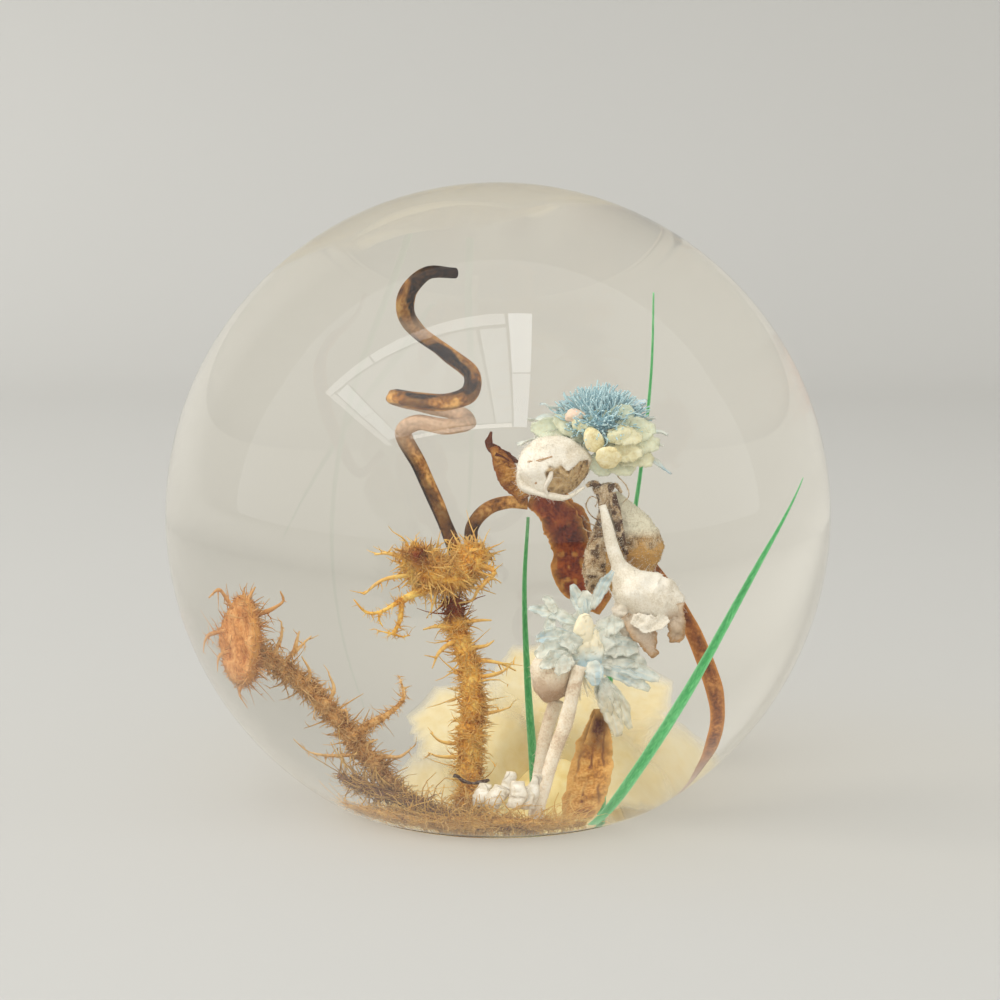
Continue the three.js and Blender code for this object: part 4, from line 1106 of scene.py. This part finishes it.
pod_stalk = [
    ([(8.2, -5, 35.5), (8.4, -5, 34.7), (8.4, -5, 33.6), (8.2, -5, 32.5)], [0.75, 0.6, 0.42, 0.45]),
    ([(8.3, -5.2, 35.0), (7.6, -5.4, 35.7), (7.0, -5.4, 35.5)], [0.3, 0.28, 0.14]),
    ([(8.6, -5.2, 34.8), (9.3, -5.2, 35.5), (9.8, -5, 34.9)], [0.25, 0.2, 0.1]),
    ([(9.0, -5.2, 34.9), (9.4, -5.5, 33.2), (9.8, -5.5, 31.2), (10.2, -5.5, 30.0)],
     [0.3, 0.36, 0.3, 0.15]),
]
loose_hairs = (
    [(8.3, -5.8, 32.6), (7.4, -5.9, 33.2), (7.0, -5.8, 34.0), (7.4, -5.7, 34.7), (7.9, -5.6, 34.4),
     (7.7, -5.5, 33.8)],
    [(9.5, -5.4, 36.3), (10.2, -5.4, 35.5), (10.4, -5.3, 34.7), (9.9, -5.2, 34.1)],
    [(8.0, -5.6, 32.2), (7.2, -5.8, 32.6), (6.6, -5.8, 33.2)],
    [(8.0, -5.6, 31.8), (7.2, -5.8, 31.9), (6.7, -5.8, 32.2)],
)
left_pod = [([(8.3, -4.9, 32.8), (8.1, -4.9, 31.5), (7.8, -4.9, 29.9), (7.6, -4.9, 28.3),
              (7.4, -4.9, 27.0)],
             [0.4, 0.9, 1.1, 1.05, 0.5])]
right_pod = [
    ([(9.0, -4, 34.6), (9.7, -3.8, 33.2), (10.6, -3.6, 31.5), (11.2, -3.6, 29.9), (11.2, -3.6, 28.2)],
     [0.4, 1.1, 1.6, 1.65, 0.7]),
    ([(8.7, -4.9, 31.8), (9.0, -5, 29.9), (9.2, -4.9, 28.2), (9.4, -4.8, 26.9)], [0.3, 0.75, 0.8, 0.4]),
]
speckled_pods = (
    ("ribbed_pod_stalk", "pod_stalk", pod_stalk, 7),
    ("left_speckled_pod", "speckled_pod_left", left_pod, 3),
    ("right_speckled_pod", "speckled_pod_right", right_pod, 2),
)
for order, (name, node, routes, ribs) in enumerate(speckled_pods):
    shells = []
    for part, (route, widths) in enumerate(routes):
        shell = closed_tube(*limb(
            route, widths, [0.8 * width for width in widths], (0, -1, 0.1), rings=90, sides=48,
            relief=ribbed(ribs, 0.09, 141 + order),
        ))
        if order == 2:
            shell[2]["gold"] = np.clip((30.8 + lumps(shell[0], 0.8, 146) - shell[0][:, 2]) / 0.7 + part,
                                       0, 0.9)
            shell[2]["pale"] = np.clip((shell[0][:, 2] - 31.2) / 0.7, 0, 1) * (1 - part)
        elif part == 3:
            shell[2]["black"] = np.clip(4 * lumps(shell[0], 0.35, 147) + 0.6, 0, 1)
        else:
            shell[2]["black"] = np.clip(6 * lumps(shell[0], 0.4, 148) - 1.6, 0, 0.9)
        shells.append(shell)
    if order == 0:
        shells += [bristly_limb(route, [0.05, 0.05, 0.03], 60, 150, 0.0, 6) for route in loose_hairs]
    beaded(name, together(*shells), node, 141 + order)


# The upper flower is a small blue thistle-like head: a dome of fine blue threads over round
# cream bracts, with pale rays all round. The lower flower is of thin crumpled pale petals.
thread_finish = plant_finish(
    "flower_threads_blue", (132, 186, 206), (184, 222, 234), (224, 242, 246), patch=0.8, speck=0.2,
    bump=0.02,
    roughness=0.8, tints=(("tip", (206, 234, 242)),))
bract_finish = plant_finish(
    "flower_bracts_cream", (222, 204, 150), (244, 234, 190), (252, 246, 218), patch=0.9, speck=0.18,
    bump=0.04,
    roughness=0.75, tints=(("pale", (226, 236, 218)), ("pink", (236, 206, 194))),
    clear=("rim", 0.5))
# The cream tint is the real cream of the lower flower's heart and threads; on its hanging petals it is
# painted light.
petal_finish = plant_finish(
    "flower_petals_pale_blue", (214, 226, 224), (236, 240, 232), (250, 248, 238), patch=1.4, speck=0.2,
    bump=0.04,
    roughness=0.7, tints=(("cream", (244, 234, 206)), ("blue", (188, 218, 234)),
                          ("veins", (240, 242, 234)),
                          ("lines", (176, 166, 140))), clear=("rim", 0.4))


def crumpled_petal(root, tip, half, seed, bend=0.5, face=None, thick=0.09, crinkle=0.22, blue=0.0):
    """One thin petal from its root to its ragged tip, arched a little upwards."""
    root, tip = np.array(root, float), np.array(tip, float)
    middle = (root + tip) / 2 + (0, 0, bend)
    face = np.cross(np.cross(tip - root, (0, 0, 1)), tip - root) if face is None else face
    shell = blade([root, middle, tip], [0.4 * half, half, half, 0.35 * half], face, 30, 15, thick, 0.3,
                  crinkle,
                  0.8, 0.22, seed)
    across = shell[2]["straight"][:, 0]
    shell[2]["veins"] = np.clip(1.5 * np.cos(across / half * 9) - 0.6, 0, 1)
    shell[2]["blue"] = blue * np.clip(0.6 + 1.4 * lumps(shell[0], 1.0, seed), 0, 1)
    shell[2]["rim"] = np.clip(shell[2]["rim"], 0.3, 1)
    return shell


upper_heart = (8.0, -3.4, 39.4)
ray_tips = (
    ((2.3, -3, 40.3), 0.9, 0.2), ((1.5, -4, 38.5), 0.7, 0.2), ((2.9, -4, 39.2), 0.8, 0),
    ((13.5, -3.4, 39.3), 0.6, 0.3),
    ((13.1, -4, 38.4), 0.7, 0), ((13.7, -4.6, 36.2), 0.6, 1), ((12.3, -2, 40.2), 0.9, 0.2),
    ((11.8, -2.5, 41.8), 0.6, 1),
    ((4.8, -3, 42.0), 0.6, 0.8), ((3.3, -3, 41.6), 0.5, 0.8), ((11.4, -4.6, 37.0), 1.1, 0.1),
    ((9.0, -4.6, 36.4), 1.1, 0),
    ((11.4, 0.8, 39.4), 0.9, 0.5), ((8, 2.4, 39.2), 0.9, 0.5), ((4.2, 1.2, 39.4), 0.9, 0.5),
)
bract_places = (
    ((7.7, -6.3, 39.4), 0.75, 1.1, 0), ((8.8, -6.6, 38.1), 0.95, 0.95, 0),
    ((6.1, -5.2, 41.2), 0.8, 0.55, 3),
    ((9.7, -6.0, 39.7), 1.0, 0.7, 1), ((6.9, -5.4, 40.3), 0.9, 0.55, 1),
)
# Each leafy bract is (root, tip, half width, paleness).
leafy_bracts = (
    ((8.0, -4.2, 39.2), (2.6, -4.2, 40.0), 1.1, 0.9), ((8.0, -4.4, 39.0), (4.4, -5.0, 40.9), 1.0, 0.7),
    ((8.6, -5.2, 39.4), (12.6, -4.6, 40.0), 1.1, 0.8), ((8.8, -5.6, 39.2), (12.9, -4.8, 38.7), 1.1, 0.7),
    ((8.6, -5.4, 38.6), (12.4, -5.2, 37.4), 1.1, 0.5), ((8.4, -5.4, 38.4), (10.8, -5.4, 36.6), 1.1, 0.7),
    ((8.2, -5.2, 38.4), (8.4, -5.4, 36.3), 1.2, 0.9), ((8.8, -6.0, 39.8), (11.6, -5.8, 39.4), 0.8, 0.3),
    ((8.0, -4.8, 39.6), (10.8, -4.4, 41.6), 1.1, 0.9), ((7.4, -4.6, 38.6), (3.2, -4.6, 38.9), 1.0, 0.9),
    ((7.6, -5.0, 39.8), (8.2, -4.8, 41.6), 0.8, 0.9), ((9.0, -6.0, 38.2), (11.6, -5.8, 38.2), 0.8, 0.3),
)
dome = egg((8.0, -3.2, 40.0), (2.5, 2.1, 1.6), (0, 0, 1), 40, 50, ((151, 0.5, 0.08),))
dome[2]["hairy"] = np.clip((dome[0][:, 2] - 39.4) / 0.5, 0, 1)
dome_piece = plant_piece("upper_flower_threads", dome, thread_finish)
grow(dome_piece, thread_finish, per_square_millimetre=24.0, length=1.7, shortest=0.55, girth=0.09,
     tip_girth=0.8,
     lean=0.4, curl=0.2, wave=0.05, own_hair=0.0, rings=5, seed=151)
belongs(dome_piece, "blue_petal", "flower_upper")
rays = [crumpled_petal(upper_heart, tip, half, 160 + 4 * order, blue=blue)
        for order, (tip, half, blue) in enumerate(ray_tips)]
belongs(plant_piece("upper_flower_rays", together(*rays), petal_finish), "blue_petal", "flower_upper")
bracts = []
for order, (place, wide, tall, kind) in enumerate(bract_places):
    bract = egg(place, (tall, 0.4, wide), (1, 0.1, 0.3 * math.cos(2.4 * order)), 30, 36,
                ((201 + order, 0.9, 0.25), (191 + order, 0.35, 0.1)))
    bract[2]["pale"] = np.full(len(bract[0]), (0, 0.4, 0.9, 0.2)[kind])
    bract[2]["pink"] = np.full(len(bract[0]), 0.8 * (kind == 3))
    bracts.append(bract)
for order, (root, tip, half, pale) in enumerate(leafy_bracts):
    bract = crumpled_petal(root, tip, half, 420 + 4 * order, 0.1, (0.1, -1, 0.3), 0.2, 0.2)
    bract[2]["pale"] = np.full(len(bract[0]), pale)
    bracts.append(bract)
belongs(plant_piece("upper_flower_bracts", together(*bracts), bract_finish), "cream_petal",
        "flower_upper")

# Each petal of the lower flower is (root, tip, half width, share of blue).
lower_petals = (
    ((7.0, -8.4, 25.2), (5.9, -8.0, 27.9), 0.6, 0.5), ((7.1, -8.4, 25.6), (7.0, -8.4, 27.5), 0.65, 0.3),
    ((7.6, -8.6, 26.0), (9.3, -8.6, 29.1), 0.5, 0.7), ((6.4, -8.2, 24.8), (2.4, -8.0, 26.0), 0.55, 0.4),
    ((4.6, -8.2, 25.6), (3.6, -8.0, 26.9), 0.45, 0.3), ((4.4, -8.3, 25.5), (4.0, -8.4, 23.9), 0.5, 0.2),
    ((6.2, -8.6, 23.4), (3.0, -8.6, 23.6), 0.75, 0.9), ((6.0, -8.6, 22.8), (3.9, -8.8, 22.4), 0.6, 0.3),
    ((7.6, -9.0, 23.0), (10.0, -8.8, 23.6), 1.0, 0.1), ((7.8, -9.0, 23.8), (10.2, -8.6, 24.8), 0.8, 0.1),
    ((8.2, -9.0, 22.6), (11.4, -8.2, 22.6), 0.9, 0.1), ((8.0, -9.0, 21.6), (13.1, -8.0, 20.0), 0.7, 0.5),
    ((8.0, -9.2, 21.2), (12.3, -8.0, 19.2), 0.6, 0.7), ((8.0, -8.6, 22.2), (12.0, -8.0, 21.2), 0.9, 0.0),
    ((8.2, -9.2, 20.6), (9.0, -8.8, 17.0), 0.75, 0.0), ((8.4, -9.2, 20.2), (9.9, -8.6, 15.3), 0.85, 0.0),
    ((8.6, -9.2, 20.4), (10.9, -8.4, 15.9), 0.6, 0.1), ((7.2, -9.2, 21.6), (6.0, -9.4, 20.2), 0.8, 0.2),
    ((7.6, -7.6, 22.4), (8.4, -3.4, 22.4), 0.9, 0.3), ((7.2, -7.6, 23.6), (5.2, -4.2, 24.6), 0.9, 0.3),
    ((7.8, -7.6, 23.6), (10.6, -4.4, 24.2), 0.9, 0.3), ((7.6, -9.6, 21.8), (8.0, -10.4, 19.8), 0.8, 0.8),
    ((6.2, -10.0, 22.8), (3.0, -10.6, 22.4), 0.8, 0.1),
    ((6.0, -10.2, 22.2), (3.4, -11.0, 21.4), 0.7, 0.0),
    ((6.2, -10.4, 22.0), (4.8, -11.2, 20.8), 0.7, 0.0),
    ((6.6, -9.4, 22.6), (5.0, -10.6, 23.6), 0.8, 0.4),
)
shells = [egg((7.4, -8.4, 22.6), (1.6, 1.3, 2.2), (0, 0, 1), 50, 60,
              ((211, 0.5, 0.2), (212, 0.25, 0.1))),
          egg((6.9, -9.0, 24.1), (0.9, 0.7, 1.6), (0.1, 0, 1), 50, 40, ((213, 0.5, 0.12),))]
for part, shell in enumerate(shells):
    shell[2]["blue"] = np.clip((22.4 - shell[0][:, 2]) / 0.8, 0, 1)
    shell[2]["cream"] = np.clip((shell[0][:, 2] - 22.4) / 0.8, 0, 0.9)
    shell[2]["lines"] = np.clip(1 - np.abs(lumps(shell[0] * (1, 1, 0.4), 0.5, 214 + part)) * 8, 0, 0.6)
for order, (root, tip, half, blue) in enumerate(lower_petals):
    petal = crumpled_petal(root, tip, half, 220 + 4 * order, 0.3, (0.1, -1, 0.2), crinkle=0.3, blue=blue)
    petal[2]["lines"] = np.clip(1 - np.abs(lumps(petal[0], 0.7, 320 + order)) * 12, 0, 0.35)
    # Painted light: the petals hanging below the head turn cream, standing in for the light they lose by
    # facing down.
    petal[2]["cream"] = np.clip((19.5 - petal[0][:, 2]) / 2, 0, 0.8)
    shells.append(petal)
fibre_count = 9
for order in range(fibre_count):
    turn = 2 * math.pi * order / fibre_count
    route = [(7.2, -9.2, 21.0), (6.6 + 0.5 * math.cos(turn), -9.6, 20.2),
             (6.5 + 1.1 * math.cos(turn), -9.6, 19.3 + 0.8 * math.sin(turn))]
    fibre = bristly_limb(route, [0.12, 0.1, 0.05], 30, 400 + order, 0.1, 8)
    fibre[2]["cream"] = np.ones(len(fibre[0]))
    shells.append(fibre)
belongs(plant_piece("lower_flower_petals", together(*shells), petal_finish), "blue_petal",
        "flower_lower")


# Three blades of fresh green grass, dried flat, run from the foot to the upper half.
grass_finish = plant_finish(
    "grass_blade_green", (40, 134, 68), (66, 172, 96), (118, 208, 136), patch=3.0, speck=0.15, bump=0.01,
    roughness=0.5, tints=(("rim", (140, 212, 156)),), lengthwise=True)
grass_blades = (
    ("middle_grass_blade", "grass_centre",
     [(2.9, 0.2, 3.3), (2.7, 0, 12), (2.2, 0, 20), (2, 0, 27), (2.3, -0.4, 32.2)],
     [0.38, 0.34, 0.22, 0.12], (0.1, -1, 0)),
    ("back_grass_blade", "grass_back",
     [(6.4, 8, 3.3), (7.3, 8, 16), (8.8, 8, 25.6), (10.2, 8, 34), (11, 8, 41),
     (11.3, 8, 47.4)], [0.3, 0.25, 0.15, 0.06], (0.2, -1, 0)),
    ("right_grass_blade", "grass_right",
     [(9.4, -14.4, 3.3), (12.1, -12, 11.2), (16.5, -8.6, 20.2), (21, -5.4, 28.6),
     (25.9, -3, 36)], [0.7, 0.58, 0.36, 0.06], (0.3, -1, 0.1)),
)
for order, (name, node, route, widths, face) in enumerate(grass_blades):
    shell = blade(route, widths, face, 160, 10, 0.09, 0.3, 0.02, 3.0, 0.05, 261 + order)
    belongs(plant_piece(name, shell, grass_finish), "grass", node)


# A scrap of white petal lies in the mat at the front, crumpled, with dark veins.
scrap_finish = plant_finish(
    "petal_scrap_white", (224, 214, 194), (244, 238, 226), (252, 250, 242), patch=0.9, speck=0.2,
    bump=0.05,
    tints=(("veins", (142, 124, 106)), ("rim", (224, 212, 190)), ("black", (66, 40, 26))))
# Each flake is (route, half width, face, number of its crumple, darkness).
scrap_flakes = (
    ([(-1.8, -15.2, 7.8), (-1.6, -15.6, 9.2), (-1.2, -15.2, 10.8)], 0.9, (-0.3, -1, 0.4), 271, 0),
    ([(-0.6, -15.8, 7.6), (-0.2, -15.9, 9.0), (0.3, -15.4, 10.4)], 0.9, (0.3, -1, 0.5), 274, 0),
    ([(0.2, -14.8, 9.0), (0.9, -15.0, 10.4), (1.2, -14.6, 12.0)], 0.7, (0.1, -1, 0.2), 277, 0),
    ([(1.2, -15.8, 7.6), (1.7, -15.8, 9.2), (1.7, -15.2, 11.0)], 0.9, (-0.2, -1, 0.3), 284, 0),
    ([(3.0, -14.8, 7.5), (3.1, -14.8, 9.4), (3.5, -14.2, 11.8)], 0.7, (0.4, -1, 0.2), 287, 0),
    ([(2.3, -15.0, 7.5), (2.6, -15.2, 8.8), (2.4, -14.8, 10.4)], 0.6, (-0.4, -1, 0.4), 290, 0),
    ([(-3.8, -13.4, 11.6), (-2.4, -13.8, 11.0), (-0.8, -13.4, 11.4)], 0.45, (0.1, -0.6, 1), 280, 1),
)
shells = []
for route, half, face, seed, dark in scrap_flakes:
    shell = blade(route, [0.7 * half, half, 0.6 * half], face, 30, 22, 0.1, -0.4, 0.26, 1.1, 0.25, seed)
    shell[2]["veins"] = np.clip(1 - np.abs(lumps(shell[0], 1.3, seed)) * 14, 0, 0.8)
    shell[2]["black"] = np.full(len(shell[0]), float(dark))
    shells.append(shell)
belongs(plant_piece("white_petal_scrap", together(*shells), scrap_finish), "woolly_felt", "petal_scrap")


# Behind them all a big cream everlasting flower faces forwards and up. Its bracts are thin
# and smooth, and the resin makes them look much larger than they are.
cream_finish = plant_finish(
    "everlasting_bract_cream", (236, 212, 140), (246, 228, 168), (250, 240, 200), patch=4.0, speck=0.6,
    bump=0.02,
    roughness=0.6, tints=(("rim", (250, 242, 214)),), clear=("rim", 0.1))
flower_heart = np.array((3.4, 15.5, 11.4))
flower_face = unit((-0.08, -0.8, 0.6))
flower_right = unit(np.cross(flower_face, (0, 0, 1)))
flower_top = np.cross(flower_right, flower_face)


def everlasting_bract(angle, reach, lift, half, seed):
    outward = flower_right * math.cos(angle) + flower_top * math.sin(angle)
    root = flower_heart + outward * 1.5
    tip = flower_heart + outward * reach * 0.98 + flower_face * (lift - 0.9)
    middle = flower_heart + outward * reach * 0.55 + flower_face * lift
    shell = blade([root, middle, tip], [0.5 * half, half, 0.95 * half, 0.35 * half], flower_face, 30, 22,
                  0.16,
                  0.22, 0.15, 2.6, 0.1, seed)
    shell[2]["rim"] = np.clip(shell[2]["rim"] ** 0.5, 0.45, 1)
    return shell


bracts = [egg(flower_heart, (4, 4, 2.2), flower_face, 40, 50, ((281, 0.3, 0.08),))]
outer_bracts, outer_reach = 9, 11.4
inner_bracts, inner_reach = 5, 7.14
for step in range(outer_bracts):
    angle = 2 * math.pi * step / outer_bracts
    bracts.append(everlasting_bract(angle, outer_reach, 1.4, 3.4, 283 + 3 * step))
for step in range(inner_bracts):
    angle = 2 * math.pi * (step + 0.4) / inner_bracts
    bracts.append(everlasting_bract(angle, inner_reach, 3, 2.8, 320 + 3 * step))
belongs(plant_piece("everlasting_flower_head", together(*bracts), cream_finish), "cream_petal",
        "everlasting_flower")
